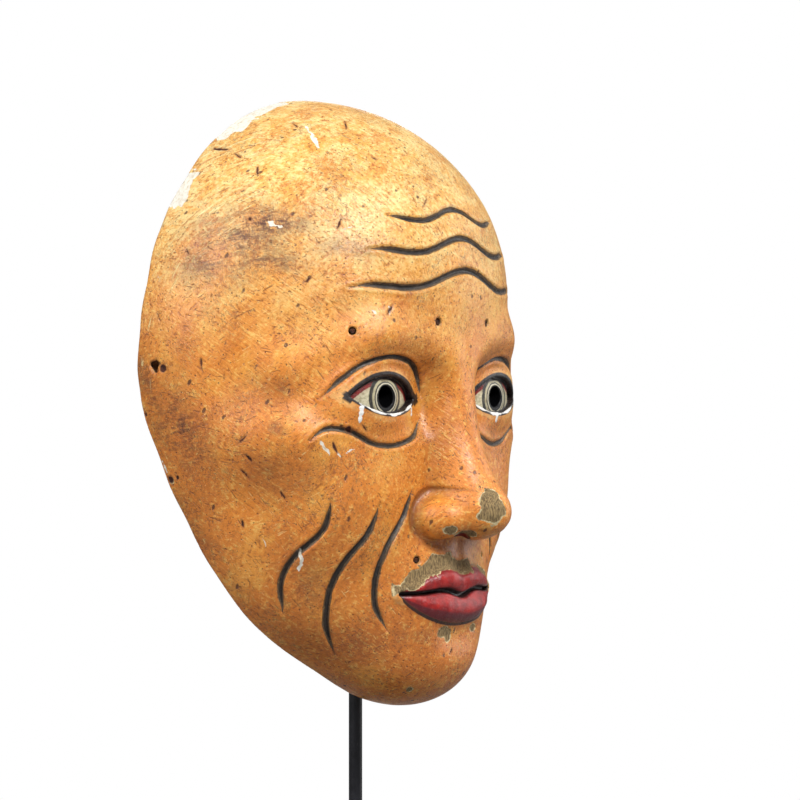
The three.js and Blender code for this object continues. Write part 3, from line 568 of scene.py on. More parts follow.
class Mat:
    def __init__(self, name):
        self.m = bpy.data.materials.new(name)
        self.m.use_nodes = True
        self.t = self.m.node_tree
        self.t.nodes.clear()
        self.out = self.t.nodes.new("ShaderNodeOutputMaterial")
        self.b = self.t.nodes.new("ShaderNodeBsdfPrincipled")
        self.t.links.new(self.b.outputs[0], self.out.inputs[0])
        tc = self.t.nodes.new("ShaderNodeTexCoord")
        s = self.t.nodes.new("ShaderNodeVectorMath")
        s.operation = "SCALE"
        s.inputs["Scale"].default_value = 1000.0
        self.t.links.new(tc.outputs["Object"], s.inputs[0])
        self.mm = s.outputs[0]

    def put(self, sock, v):
        if isinstance(v, bpy.types.NodeSocket):
            self.t.links.new(v, sock)
        elif isinstance(v, tuple) and len(v) == 3 and sock.type == "RGBA":
            sock.default_value = (*v, 1.0)
        else:
            sock.default_value = v

    def set(self, name, v):
        self.put(self.b.inputs[name], v)

    def attr(self, name):
        n = self.t.nodes.new("ShaderNodeAttribute")
        n.attribute_name = name
        return n.outputs["Fac"]

    def math(self, op, a, b=0.0, clamp=False):
        n = self.t.nodes.new("ShaderNodeMath")
        n.operation = op
        n.use_clamp = clamp
        self.put(n.inputs[0], a)
        self.put(n.inputs[1], b)
        return n.outputs[0]

    def add(self, a, b): return self.math("ADD", a, b)
    def mul(self, a, b): return self.math("MULTIPLY", a, b)
    def sub(self, a, b): return self.math("SUBTRACT", a, b)
    def inv(self, a): return self.math("SUBTRACT", 1.0, a)
    def mx(self, a, b): return self.math("MAXIMUM", a, b)
    def mn(self, a, b): return self.math("MINIMUM", a, b)

    def step(self, v, a, b, lo=0.0, hi=1.0):
        n = self.t.nodes.new("ShaderNodeMapRange")
        n.interpolation_type = "SMOOTHSTEP"
        self.put(n.inputs[0], v)
        for i, k in enumerate((a, b, lo, hi)):
            self.put(n.inputs[i + 1], k)
        return n.outputs[0]

    def mix(self, f, a, b, mode="MIX"):
        n = self.t.nodes.new("ShaderNodeMix")
        n.data_type = "RGBA"
        n.blend_type = mode
        self.put(n.inputs[0], f)
        self.put(n.inputs[6], a)
        self.put(n.inputs[7], b)
        return n.outputs[2]

    def lerp(self, f, a, b):
        n = self.t.nodes.new("ShaderNodeMix")
        n.data_type = "FLOAT"
        self.put(n.inputs[0], f)
        self.put(n.inputs[2], a)
        self.put(n.inputs[3], b)
        return n.outputs[0]

    def place(self, scale=(1, 1, 1), rot=(0, 0, 0), off=(0, 0, 0), vec=None):
        n = self.t.nodes.new("ShaderNodeMapping")
        n.vector_type = "TEXTURE"                  # turns first, then stretches along the turned axes
        self.put(n.inputs[0], vec or self.mm)
        n.inputs["Location"].default_value = off
        n.inputs["Rotation"].default_value = tuple(math.radians(v) for v in rot)
        n.inputs["Scale"].default_value = tuple(1.0 / v for v in scale)
        return n.outputs[0]

    def noise(self, vec, size, detail=3.0, rough=0.5, dist=0.0):
        """size is the feature size in mm"""
        n = self.t.nodes.new("ShaderNodeTexNoise")
        self.put(n.inputs["Vector"], vec or self.mm)
        n.inputs["Scale"].default_value = 1.0 / size
        n.inputs["Detail"].default_value = detail
        n.inputs["Roughness"].default_value = rough
        n.inputs["Distortion"].default_value = dist
        return n.outputs[0]

    def cells(self, vec, size, rand=1.0, feature="F1"):
        n = self.t.nodes.new("ShaderNodeTexVoronoi")
        n.feature = feature
        self.put(n.inputs["Vector"], vec or self.mm)
        n.inputs["Scale"].default_value = 1.0 / size
        n.inputs["Randomness"].default_value = rand
        return n

    def join(self, a, b, c=0.0):
        n = self.t.nodes.new("ShaderNodeCombineXYZ")
        for i, v in enumerate((a, b, c)):
            self.put(n.inputs[i], v)
        return n.outputs[0]

    def xyz(self, vec=None):
        n = self.t.nodes.new("ShaderNodeSeparateXYZ")
        self.put(n.inputs[0], vec or self.mm)
        return n.outputs

    def bump(self, height, dist, strength=1.0, normal=None):
        n = self.t.nodes.new("ShaderNodeBump")
        n.inputs["Strength"].default_value = strength
        n.inputs["Distance"].default_value = dist
        self.put(n.inputs["Height"], height)
        if normal is not None:
            self.put(n.inputs["Normal"], normal)
        return n.outputs[0]

# ---------------------------------------------------------------- the mask's paint and wood
def painted_wood():
    g = Mat("painted_wood_fine")
    xyz = g.xyz()
    z = g.sub(xyz[2], MASK_Z)
    ax = g.math("ABSOLUTE", xyz[0])
    big = g.noise(g.mm, 34, 3, 0.55)
    mid = g.noise(g.mm, 9, 5, 0.6)
    fine = g.noise(g.mm, 2.2, 6, 0.65)
    # brushed, rubbed grain running down the sides of the face
    s1 = g.noise(g.place((2.6, 2.6, 0.28), (24, 20, 0)), 1.1, 4, 0.6)
    s2 = g.noise(g.place((2.2, 2.2, 0.2), (-38, -24, 0)), 1.3, 4, 0.6, 0.4)
    streak = g.lerp(g.step(big, 0.42, 0.58), s1, s2)
    # base coat: yellow ochre high up, orange in the middle, browner low down; the paler top and the browner bottom are
    # partly painted light and shade falling from above
    hgt = g.add(z, g.mul(g.sub(mid, 0.5), 40))
    hgt = g.add(hgt, g.mul(g.sub(big, 0.5), 30))
    base = g.mix(g.step(hgt, 4, 60), lin(230, 139, 50), lin(236, 172, 80))
    base = g.mix(g.step(g.sub(z, g.mul(g.sub(big, 0.5), 60)), -30, -96), base, lin(218, 127, 47))
    hue = g.noise(g.place((1, 1, 0.7), (18, 30, 0), (31, 7, 5)), 15, 5, 0.65)
    base = g.mix(g.mul(g.step(hue, 0.5, 0.64), 0.5), base, lin(246, 176, 76))
    base = g.mix(g.mul(g.step(hue, 0.48, 0.36), 0.45), base, lin(208, 118, 42))
    # fine mottling and brush grain, in three directions that take turns
    fa = g.noise(g.mm, 1.5, 8, 0.78, 0.3)
    fb = g.noise(g.place((1, 1, 0.5), (28, 8, 0), (3, 1, 4)), 2.6, 8, 0.74, 0.7)
    f2 = g.noise(g.mm, 0.8, 4, 0.7)
    h1 = g.noise(g.place((1, 1, 0.13), (38, 30, 0), (7, 0, 2)), 0.8, 4, 0.6, 0.25)
    h2 = g.noise(g.place((1, 1, 0.11), (-44, -38, 0), (1, 5, 2)), 0.7, 4, 0.6, 0.25)
    h3 = g.noise(g.place((1, 1, 0.1), (78, 66, 0), (4, 4, 9)), 0.75, 4, 0.6, 0.25)
    where = g.noise(g.mm, 19, 3, 0.6)
    hatch = g.lerp(g.step(where, 0.44, 0.5), g.lerp(g.step(mid, 0.42, 0.58), h1, h3), h2)
    tone = g.add(g.mul(g.sub(fa, 0.5), 1.7), g.mul(g.sub(fb, 0.5), 1.5))
    tone = g.add(tone, g.mul(g.sub(hatch, 0.5), 1.5))
    tone = g.add(tone, g.mul(g.sub(mid, 0.5), 0.5))
    lightm = g.math("MULTIPLY", g.step(tone, 0.03, 0.42), 0.8, True)
    darkm = g.math("MULTIPLY", g.step(tone, -0.06, -0.5), 0.85, True)
    base = g.mix(lightm, base, lin(254, 200, 104))
    base = g.mix(darkm, base, lin(160, 86, 32))
    # painted highlight: a pale glare over the brow and the top, broken up by the grain, then rusty brush marks
    pale = g.mul(g.step(z, 14, 72), g.step(g.add(g.mul(fa, 0.7), g.add(g.mul(mid, 0.5), g.mul(hatch, 0.5))), 0.78, 0.96))
    base = g.mix(g.mul(pale, 0.75), base, lin(250, 228, 158))
    rn = g.noise(g.place((1, 1, 0.42), (28, 0, 0), (9, 3, 1)), 2.2, 8, 0.78, 0.8)
    rust = g.mul(g.step(z, 2, 46, 0.35, 1.0), g.step(rn, 0.54, 0.63))
    base = g.mix(g.mul(rust, 0.55), base, lin(190, 100, 46))
    # scratchy grime that gathers in patches
    gw = g.noise(g.place((1, 1, 0.6), (12, 40, 0), (3, 8, 2)), 20, 4, 0.62)
    gb = g.noise(g.place((1, 1, 0.6), (-20, 15, 0), (2, 2, 7)), 1.1, 7, 0.8, 1.2)
    grime = g.mul(g.step(gw, 0.47, 0.66), g.step(g.add(gb, g.mul(g.sub(hatch, 0.5), 0.5)), 0.5, 0.62))
    base = g.mix(g.mul(grime, 0.72), base, lin(112, 66, 34))
    worms = g.mul(g.step(g.math("ABSOLUTE", g.sub(gb, 0.5)), 0.012, 0.0), g.step(gw, 0.4, 0.6))
    base = g.mix(g.mul(worms, 0.45), base, lin(112, 60, 30))
    # stains
    rub = g.noise(g.place((1, 1, 0.14), (70, 60, 0), (5, 2, 1)), 1.3, 6, 0.72, 0.5)
    stn = g.mul(g.attr("stain"), g.step(g.add(g.mul(rub, 0.6), g.add(g.mul(mid, 0.4), g.mul(gb, 0.5))), 0.63, 0.86))
    base = g.mix(g.math("MULTIPLY", g.attr("stain"), 0.5, True), base, lin(186, 104, 50))
    base = g.mix(g.math("MULTIPLY", stn, 1.25, True), base, lin(92, 50, 30))
    # long sweeping brush strokes round the side of the head: the pale ones are a painted reflection of the light along
    # the strokes, the darker ones brush marks in the paint
    su = g.sub(g.add(g.mul(xyz[0], 0.616), g.mul(g.sub(ROD_F, xyz[1]), 0.788)), 18)
    sz = g.sub(z, 12)
    sr = g.math("SQRT", g.add(g.mul(su, su), g.mul(sz, sz)))
    sn = g.noise(g.join(sr, g.mul(g.math("ARCTAN2", sz, su), 5.0)), 1.15, 5, 0.6, 0.25)
    sg = g.mul(g.mul(g.step(sr, 50, 68), g.step(su, 4, -22)), g.mul(g.step(z, -8, 14), g.step(g.add(g.mul(mid, 0.6), g.mul(where, 0.6)), 0.5, 0.66)))
    sweep_glint, sweepd = g.mul(sg, g.step(sn, 0.57, 0.63)), g.mul(sg, g.step(sn, 0.43, 0.36))
    base = g.mix(g.mul(sweep_glint, 0.8), base, lin(254, 234, 166))
    base = g.mix(g.mul(sweepd, 0.6), base, lin(196, 112, 50))
    # grime and painted shade in the recesses: darker orange-brown where the surface dips, broken up by noise
    recess_grime_shade = g.mul(g.step(g.attr("recess_grime_shade"), 0.05, 0.5), g.step(mid, 0.2, 0.55))
    base = g.mix(g.mul(recess_grime_shade, 0.6), base, lin(142, 80, 34))
    # painted shade: soft brown darkening along the creases round the nose's wings
    base = g.mix(g.mul(g.step(g.attr("crease"), 0.7, -0.5), 0.6), base, lin(112, 62, 30))
    # specks
    sp1 = g.cells(g.mm, 1.7)
    dots = g.mul(g.step(sp1.outputs["Distance"], 0.2, 0.11), g.step(sp1.outputs["Color"], 0.5, 0.54))
    sp2 = g.cells(g.place((1, 1, 0.5), (30, 0, 0)), 4.2)
    dash = g.mul(g.step(g.add(sp2.outputs["Distance"], g.mul(g.sub(fa, 0.5), 0.3)), 0.17, 0.09), g.step(sp2.outputs["Color"], 0.56, 0.6))
    sp3 = g.mul(g.step(f2, 0.61, 0.68), g.step(mid, 0.42, 0.6))
    speck = g.math("MAXIMUM", g.mul(dots, 0.75), g.mx(g.mul(dash, 0.85), g.mul(sp3, 0.5)))
    base = g.mix(speck, base, lin(78, 42, 22))
    # scratches, pale and dark
    k1 = g.noise(g.place((1, 1, 0.05), (52, 44, 0), (2, 6, 1)), 0.55, 2, 0.5, 0.3)
    k2 = g.noise(g.place((1, 1, 0.05), (-24, -30, 0), (6, 2, 3)), 0.55, 2, 0.5, 0.3)
    k3 = g.noise(g.place((1, 1, 0.07), (-72, -60, 0), (1, 9, 3)), 0.6, 2, 0.5, 0.3)
    gate = g.noise(g.mm, 8, 4, 0.65)
    scratch = g.mul(g.mx(g.step(k1, 0.66, 0.71), g.step(k2, 0.67, 0.72)), g.step(gate, 0.48, 0.58))
    base = g.mix(g.mul(scratch, 0.6), base, lin(254, 218, 138))
    scratchd = g.mul(g.mx(g.step(k3, 0.64, 0.69), g.mx(g.step(k2, 0.35, 0.3), g.step(k1, 0.35, 0.3))), g.step(gate, 0.56, 0.46))
    base = g.mix(g.mul(scratchd, 0.75), base, lin(116, 60, 26))
    # edge wear
    wear = g.mul(g.step(g.add(g.attr("edge"), g.mul(g.sub(fine, 0.5), 0.5)), 0.34, 0.6), g.step(mid, 0.35, 0.6))
    base = g.mix(g.mul(wear, 0.4), base, lin(252, 214, 140))

    # ---- eyes
    e1, e2, pup = g.attr("e1"), g.attr("e2"), g.attr("pup")
    alm = g.mx(e1, e2)
    inside = g.step(alm, 0.15, -0.15)
    white = g.mix(g.step(g.noise(g.mm, 1.1, 5, 0.7), 0.42, 0.64), lin(226, 217, 184), lin(178, 166, 128))
    white = g.mix(g.mul(g.step(g.noise(g.mm, 0.45, 3, 0.6), 0.6, 0.7), 0.6), white, lin(110, 98, 70))
    # painted shade: the eye white browns towards the upper lid, under its edge
    white = g.mix(g.step(e1, -4.6, -2.4, 0.0, 0.35), white, lin(150, 110, 74))
    redc = g.mix(g.step(fine, 0.4, 0.66), lin(150, 40, 34), lin(108, 26, 24))
    eye = g.mix(g.step(g.add(e1, g.mul(g.sub(fine, 0.5), 0.5)), -2.75, -2.45), white, redc)
    jit = g.add(pup, g.mul(g.sub(g.noise(g.mm, 1.5, 2, 0.5), 0.5), 0.5))
    ring = lin(52, 50, 46)
    eye = g.mix(g.mul(g.step(jit, 8.0, 7.7), g.step(e1, -1.2, -1.5)), eye, g.mix(g.step(fine, 0.45, 0.65), ring, lin(86, 80, 70)))
    eye = g.mix(g.step(jit, 6.7, 6.4), eye, g.mix(g.step(fine, 0.4, 0.7), lin(196, 186, 150), lin(146, 132, 98)))
    eye = g.mix(g.step(jit, 5.75, 5.55), eye, lin(34, 28, 26))
    eye = g.mix(g.step(jit, 5.3, 5.12), eye, lin(206, 198, 172))
    eye = g.mix(g.step(jit, 4.75, 4.6), eye, lin(6, 6, 9))
    blk = g.mix(g.step(fine, 0.4, 0.7), lin(26, 20, 20), lin(52, 42, 38))
    col = g.mix(inside, base, eye)
    out1 = g.mul(g.step(g.add(e1, g.mul(g.sub(fine, 0.5), 0.4)), 1.75, 1.35), g.step(e1, -1.5, -1.15))
    out1 = g.mul(out1, g.step(e2, 2.6, 1.6))
    out2 = g.mul(g.step(e2, 1.25, 0.9), g.mul(g.step(e2, -0.75, -0.5), g.step(e1, 2.6, 1.6)))
    outl = g.mx(out1, out2)
    col = g.mix(outl, col, blk)

    # ---- carved lines
    ln = g.attr("line")
    lnj = g.add(ln, g.mul(g.sub(g.noise(g.mm, 1.6, 4, 0.6), 0.5), 0.55))
    lmask = g.step(lnj, 0.07, -0.07)
    worn = g.step(g.noise(g.mm, 0.8, 5, 0.7), 0.56, 0.7)
    lcol = g.mix(g.mul(worn, 0.5), lin(40, 34, 31), lin(110, 92, 72))
    lcol = g.mix(g.step(g.noise(g.mm, 3.5, 3, 0.5), 0.4, 0.7, 0.0, 0.5), lcol, lin(84, 70, 58))
    # a darker orange band just outside the carved lines, broken up by noise
    line_margin_dark = g.mul(g.step(ln, 1.1, 0.0), g.step(mid, 0.35, 0.65))
    col = g.mix(g.mul(line_margin_dark, 0.4), col, lin(140, 84, 40))
    # the carved lines: lighter grey-brown walls and a dark bottom, the dark paint deepened as painted shade along the
    # groove's floor
    wall = g.mix(g.step(g.noise(g.mm, 1.1, 5, 0.7), 0.4, 0.62), lin(116, 94, 68), lin(80, 64, 50))
    groove_floor_shade = g.step(g.add(ln, g.mul(g.sub(g.noise(g.mm, 2.2, 3, 0.6), 0.5), 0.7)), -0.35, -0.6)
    lcol = g.mix(groove_floor_shade, wall, lcol)
    fleck = g.mul(g.step(f2, 0.6, 0.66), g.step(ln, -0.75, -0.2))
    lcol = g.mix(g.mul(fleck, 0.7), lcol, lin(214, 164, 84))
    col = g.mix(lmask, col, lcol)

    # ---- lips
    lip, ld = g.attr("lip"), g.attr("lipd")
    lj = g.add(lip, g.mul(g.sub(g.noise(g.mm, 2.0, 3, 0.5), 0.5), 0.4))
    lmask2 = g.step(lj, 0.1, -0.1)
    red = g.mix(g.step(g.noise(g.mm, 3.0, 4, 0.6), 0.35, 0.7), lin(176, 32, 28), lin(132, 22, 24))
    red = g.mix(g.mul(g.step(g.noise(g.place((0.5, 1, 1), (0, 0, 0)), 1.0, 4, 0.6), 0.6, 0.72), 0.35), red, lin(200, 74, 56))
    maroon = lin(88, 24, 34)
    lj3 = g.mul(g.sub(mid, 0.5), 0.18)
    red = g.mix(g.mul(g.step(g.add(g.attr("lipo"), lj3), 0.62, 0.74), 0.8), red, maroon)
    red = g.mix(g.mul(g.step(g.add(g.attr("lipu"), lj3), 0.66, 0.9), 0.55), red, lin(124, 40, 44))
    red = g.mix(g.step(g.math("ABSOLUTE", ld), 1.5, 0.7), red, lin(44, 18, 16))
    oline = g.mul(g.step(lj, 1.25, 0.95), g.inv(lmask2))
    col = g.mix(g.mul(oline, g.step(ld, 3.0, 0.5, 0.4, 0.95)), col, lin(36, 22, 26))
    col = g.mix(lmask2, col, red)
    # ---- nostrils
    nos = g.attr("nos")
    col = g.mix(g.step(nos, 1.3, 0.8), col, lin(40, 18, 16))
    col = g.mix(g.step(nos, 0.75, 0.4), col, lin(120, 28, 24))

    # ---- losses down to white gesso and to bare wood
    ge, ch = g.attr("gess"), g.attr("chip")
    gej = g.add(ge, g.mul(g.sub(f2, 0.5), 0.8))
    gcol = g.mix(g.step(g.noise(g.mm, 1.6, 5, 0.65), 0.45, 0.75), lin(240, 234, 220), lin(206, 188, 156))
    gm = g.step(gej, -0.06, 0.06)
    col = g.mix(gm, col, gcol)
    chj = g.add(ch, g.mul(g.sub(f2, 0.5), 0.9))
    pe = g.mul(g.mul(g.step(chj, -0.1, 0.0), g.step(chj, 0.5, 0.2)), g.step(g.noise(g.mm, 2.4, 3, 0.6), 0.42, 0.56))
    fibre = g.noise(g.place((3.4, 3.4, 0.32)), 1.0, 5, 0.65)
    wood = g.mix(g.step(fibre, 0.4, 0.62), lin(166, 140, 94), lin(88, 68, 44))
    wood = g.mix(g.mul(g.step(fine, 0.5, 0.7), 0.5), wood, lin(120, 106, 74))
    cm = g.step(chj, -0.05, 0.05)
    col = g.mix(cm, col, wood)
    col = g.mix(g.mul(pe, 0.85), col, lin(232, 214, 166))
    # ---- nicks
    nk = g.attr("nick")
    nm = g.step(nk, 0.15, -0.1)
    col = g.mix(g.mul(g.step(nk, 0.7, 0.1), 0.45), col, lin(150, 92, 50))
    col = g.mix(nm, col, g.mix(g.step(fine, 0.4, 0.6), lin(58, 30, 22), lin(96, 50, 32)))
    # ---- white paint run
    gl = g.attr("glue")
    glm = g.step(gl, 0.1, -0.12)
    col = g.mix(glm, col, g.mix(g.step(fine, 0.5, 0.8), lin(250, 249, 244), lin(226, 218, 200)))

    # ---- raw wood of the rim and the hollow
    out = g.attr("out")
    grain = g.noise(g.place((1.6, 1.6, 0.07)), 1.4, 6, 0.6, 0.6)
    ringn = g.noise(g.place((0.35, 0.35, 0.012), (3, 2, 0)), 1.8, 5, 0.55, 1.2)
    raw = g.mix(g.step(grain, 0.36, 0.66), lin(174, 126, 80), lin(110, 72, 44))
    raw = g.mix(g.mul(g.step(ringn, 0.45, 0.6), 0.5), raw, lin(138, 94, 58))
    raw = g.mix(g.mul(g.step(big, 0.42, 0.64), 0.34), raw, lin(96, 62, 40))
    # painted highlight: pale on the ridges between the gouges
    raw = g.mix(g.mul(g.step(g.add(g.attr("scal"), g.mul(g.sub(mid, 0.5), 0.3)), 0.42, 0.9), 0.5), raw, lin(206, 160, 110))
    raw = g.mix(g.mul(g.step(fine, 0.56, 0.74), 0.4), raw, lin(48, 30, 20))
    # hand-darkened where a face has touched it
    worn_in = g.mul(g.attr("inn"), g.step(g.math("ABSOLUTE", g.add(z, 6)), 78, 20))
    raw = g.mix(g.mul(worn_in, 0.2), raw, lin(70, 44, 28))
    oj = g.add(out, g.mul(g.sub(mid, 0.5), 1.6))
    edge_dark = g.mul(g.step(oj, 0.35, 0.7), g.step(oj, 2.4, 1.2))
    raw = g.mix(g.mul(edge_dark, 0.7), raw, lin(52, 38, 30))
    rawm = g.step(oj, 0.55, 0.85)
    # the pupil holes' walls near black: black paint that also stands in as painted shade inside the holes
    hole = g.mul(g.step(pup, 5.2, 4.8), g.step(out, 17.0, 13.0))
    raw = g.mix(hole, raw, lin(4, 4, 5))
    col = g.mix(rawm, col, raw)
    g.set("Base Color", col)

    # ---- how it shines
    rough = g.lerp(g.step(mid, 0.3, 0.7), 0.36, 0.5)
    rough = g.lerp(g.mul(speck, 0.6), rough, 0.7)
    rough = g.lerp(g.mul(stn, 0.7), rough, 0.62)
    rough = g.lerp(lmask, rough, 0.55)
    rough = g.lerp(g.mx(lmask2, inside), rough, 0.3)
    rough = g.lerp(glm, rough, 0.22)
    rough = g.lerp(g.mx(cm, g.mx(gm, nm)), rough, 0.82)
    rough = g.lerp(rawm, rough, 0.72)
    g.set("Roughness", g.lerp(hole, rough, 0.95))
    g.set("Specular IOR Level", g.lerp(g.mul(hole, rawm), 0.5, 0.04))
    bare = g.mx(rawm, g.mx(cm, g.mx(gm, nm)))
    g.set("Coat Weight", g.lerp(bare, 0.3, 0.0))
    g.set("Coat Roughness", g.lerp(g.step(fine, 0.35, 0.7), 0.2, 0.34))
    g.set("Subsurface Weight", 0.0)
    # ---- relief too fine for the mesh
    h = g.add(g.mul(fa, 0.55), g.mul(hatch, 0.7))
    h = g.sub(h, g.mul(speck, 0.5))
    h = g.add(h, g.mul(g.sub(sweep_glint, sweepd), 0.7))
    h = g.sub(h, g.mul(g.mx(scratch, scratchd), 0.3))
    h = g.sub(h, g.mul(grime, 0.12))
    h = g.sub(h, g.mul(lmask, 0.4))
    h = g.lerp(bare, h, g.add(g.mul(fibre, 1.2), g.mul(fine, 0.3)))
    h = g.lerp(rawm, h, g.add(g.mul(grain, 1.8), g.mul(fine, 0.8)))
    n = g.bump(h, 0.0003, 0.9)
    g.set("Normal", n)
    g.put(g.b.inputs["Coat Normal"], g.bump(h, 0.0002, 0.8))
    return g.m

mask.data.materials.append(painted_wood())
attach(mask, "mask")
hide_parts("mask_shell")

# ---------------------------------------------------------------- the stand, in mm on its own axis
ROD_R, ARM_R = 2.4, 2.0
TUBE_Z0, TUBE_Z1, COLLAR_Z0, SCREW_Z = 16.3, 74.0, 74.3, 62.0
ROD_Z0, ROD_Z1, PIVOT_Z = 28.5, 217.5, 228.0
BLOCK_Z0, BLOCK_Z1, CROSS_Z = 236.0, 254.0, 241.5

def finish_mesh(name, bm, mat, node, body, smooth=35.0):
    bmesh.ops.remove_doubles(bm, verts=bm.verts, dist=1e-4)
    bmesh.ops.recalc_face_normals(bm, faces=bm.faces)
    m = bpy.data.meshes.new(name)
    for v in bm.verts:
        v.co *= 0.001
    bm.to_mesh(m)
    bm.free()
    m.polygons.foreach_set("use_smooth", np.ones(len(m.polygons), bool))
    m.set_sharp_from_angle(angle=math.radians(smooth))
    m.materials.append(mat)
    o = bpy.data.objects.new(name, m)
    bpy.context.scene.collection.objects.link(o)
    if node:
        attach(o, body)
        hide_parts(node)
    return o

def axes(d):
    w = Vector(d).normalized()
    u = w.orthogonal().normalized()
    return u, w.cross(u), w

def bm_lathe(bm, prof, n=64, at=(0, 0, 0), d=(0, 0, 1), rfun=None):
    """Turn a profile of (radius, height) about the line through at along d."""
    if abs(Vector(d).normalized().z) > 0.999:
        u, v, w = Vector((1, 0, 0)), Vector((0, 1, 0)), Vector((0, 0, 1))
    else:
        u, v, w = axes(d)
    o = Vector(at)
    rows = []
    for r, h in prof:
        if r < 1e-6:
            rows.append([bm.verts.new(o + w * h)])
        else:
            row = []
            for k in range(n):
                a = 2 * math.pi * k / n
                q = r * (rfun(a, r, h) if rfun else 1.0)
                row.append(bm.verts.new(o + u * (q * math.cos(a)) + v * (q * math.sin(a)) + w * h))
            rows.append(row)
    for a, b in zip(rows, rows[1:] + ([rows[0]] if len(rows[0]) > 1 and len(rows[-1]) > 1 else [])):
        for k in range(n):
            j = (k + 1) % n
            if len(a) == 1 and len(b) == 1:
                continue
            if len(a) == 1:
                bm.faces.new((a[0], b[k], b[j]))
            elif len(b) == 1:
                bm.faces.new((a[k], b[0], a[j]))
            else:
                bm.faces.new((a[k], b[k], b[j], a[j]))
    return bm

def rounded(pts, r, steps=4):
    """A profile with its sharp corners eased by r."""
    out = [pts[0]]
    for p, q, s_ in zip(pts, pts[1:], pts[2:]):
        P0, Q, S = Vector(p), Vector(q), Vector(s_)
        a, b = P0 - Q, S - Q
        e = min(r, a.length * 0.45, b.length * 0.45)
        a, b = Q + a.normalized() * e, Q + b.normalized() * e
        for k in range(steps + 1):
            t_ = k / steps
            v = a * (1 - t_) ** 2 + Q * 2 * t_ * (1 - t_) + b * t_ ** 2
            out.append((v.x, v.y))
    out.append(pts[-1])
    return out

def bm_sweep(pts, bend, r, n=24, steps=8, end=0.35):
    path, P_ = [], [Vector(p) for p in pts]
    path.append(P_[0])
    for i in range(1, len(P_) - 1):
        a = P_[i] + (P_[i - 1] - P_[i]).normalized() * bend
        b = P_[i] + (P_[i + 1] - P_[i]).normalized() * bend
        for k in range(steps + 1):
            t_ = k / steps
            path.append(a * (1 - t_) ** 2 + P_[i] * 2 * t_ * (1 - t_) + b * t_ ** 2)
    path.append(P_[-1])
    bm = bmesh.new()
    tan = [(path[min(i + 1, len(path) - 1)] - path[max(i - 1, 0)]).normalized() for i in range(len(path))]
    u = tan[0].orthogonal().normalized()
    rows = []
    def ring(c, t_, u, q):
        v = t_.cross(u)
        return [bm.verts.new(c + u * (q * math.cos(2 * math.pi * k / n)) + v * (q * math.sin(2 * math.pi * k / n))) for k in range(n)]
    rows.append(ring(path[0], tan[0], u, r - end))
    rows.append(ring(path[0] + tan[0] * end, tan[0], u, r))
    for i in range(1, len(path) - 1):
        u = (u - tan[i] * u.dot(tan[i])).normalized()
        rows.append(ring(path[i], tan[i], u, r))
    u = (u - tan[-1] * u.dot(tan[-1])).normalized()
    rows.append(ring(path[-1] - tan[-1] * end, tan[-1], u, r))
    rows.append(ring(path[-1], tan[-1], u, r - end))
    for a, b in zip(rows, rows[1:]):
        for k in range(n):
            bm.faces.new((a[k], b[k], b[(k + 1) % n], a[(k + 1) % n]))
    bm.faces.new(rows[0][::-1])
    bm.faces.new(rows[-1])
    return bm

def bm_prism(outline, x0, x1):
    """An outline in (y, z) pushed from x0 to x1."""
    bm = bmesh.new()
    a = [bm.verts.new((x0, y, z)) for y, z in outline]
    b = [bm.verts.new((x1, y, z)) for y, z in outline]
    for k in range(len(a)):
        j = (k + 1) % len(a)
        bm.faces.new((a[k], a[j], b[j], b[k]))
    bm.faces.new(a[::-1])
    bm.faces.new(b)
    return bm

def cutter(bm):
    return finish_mesh("cut", bm, EMPTY, None, None)

def cut(o, tools, op="DIFFERENCE"):
    """Boolean with each tool in turn, made real."""
    for tl in tools:
        md = o.modifiers.new("b", "BOOLEAN")
        md.operation, md.object, md.solver = op, tl, "EXACT"
        dg = bpy.context.evaluated_depsgraph_get()
        m = bpy.data.meshes.new_from_object(o.evaluated_get(dg))
        o.modifiers.clear()
        old, o.data = o.data, m
        bpy.data.meshes.remove(old)
        me = tl.data
        bpy.data.objects.remove(tl)
        bpy.data.meshes.remove(me)
    return o

def ease(o, width, seg=3, angle=40.0):
    """Round the sharp edges a little, as a file or a tumbler does."""
    bv = o.modifiers.new("eased", "BEVEL")
    bv.width, bv.segments, bv.limit_method, bv.angle_limit = width * 0.001, seg, "ANGLE", math.radians(angle)
    bv.use_clamp_overlap, bv.harden_normals = True, False
    dg = bpy.context.evaluated_depsgraph_get()
    m = bpy.data.meshes.new_from_object(o.evaluated_get(dg))
    o.modifiers.clear()
    o.data = m
    m.polygons.foreach_set("use_smooth", np.ones(len(m.polygons), bool))
    m.set_sharp_from_angle(angle=math.radians(50))
    return o

EMPTY = bpy.data.materials.new("cut")

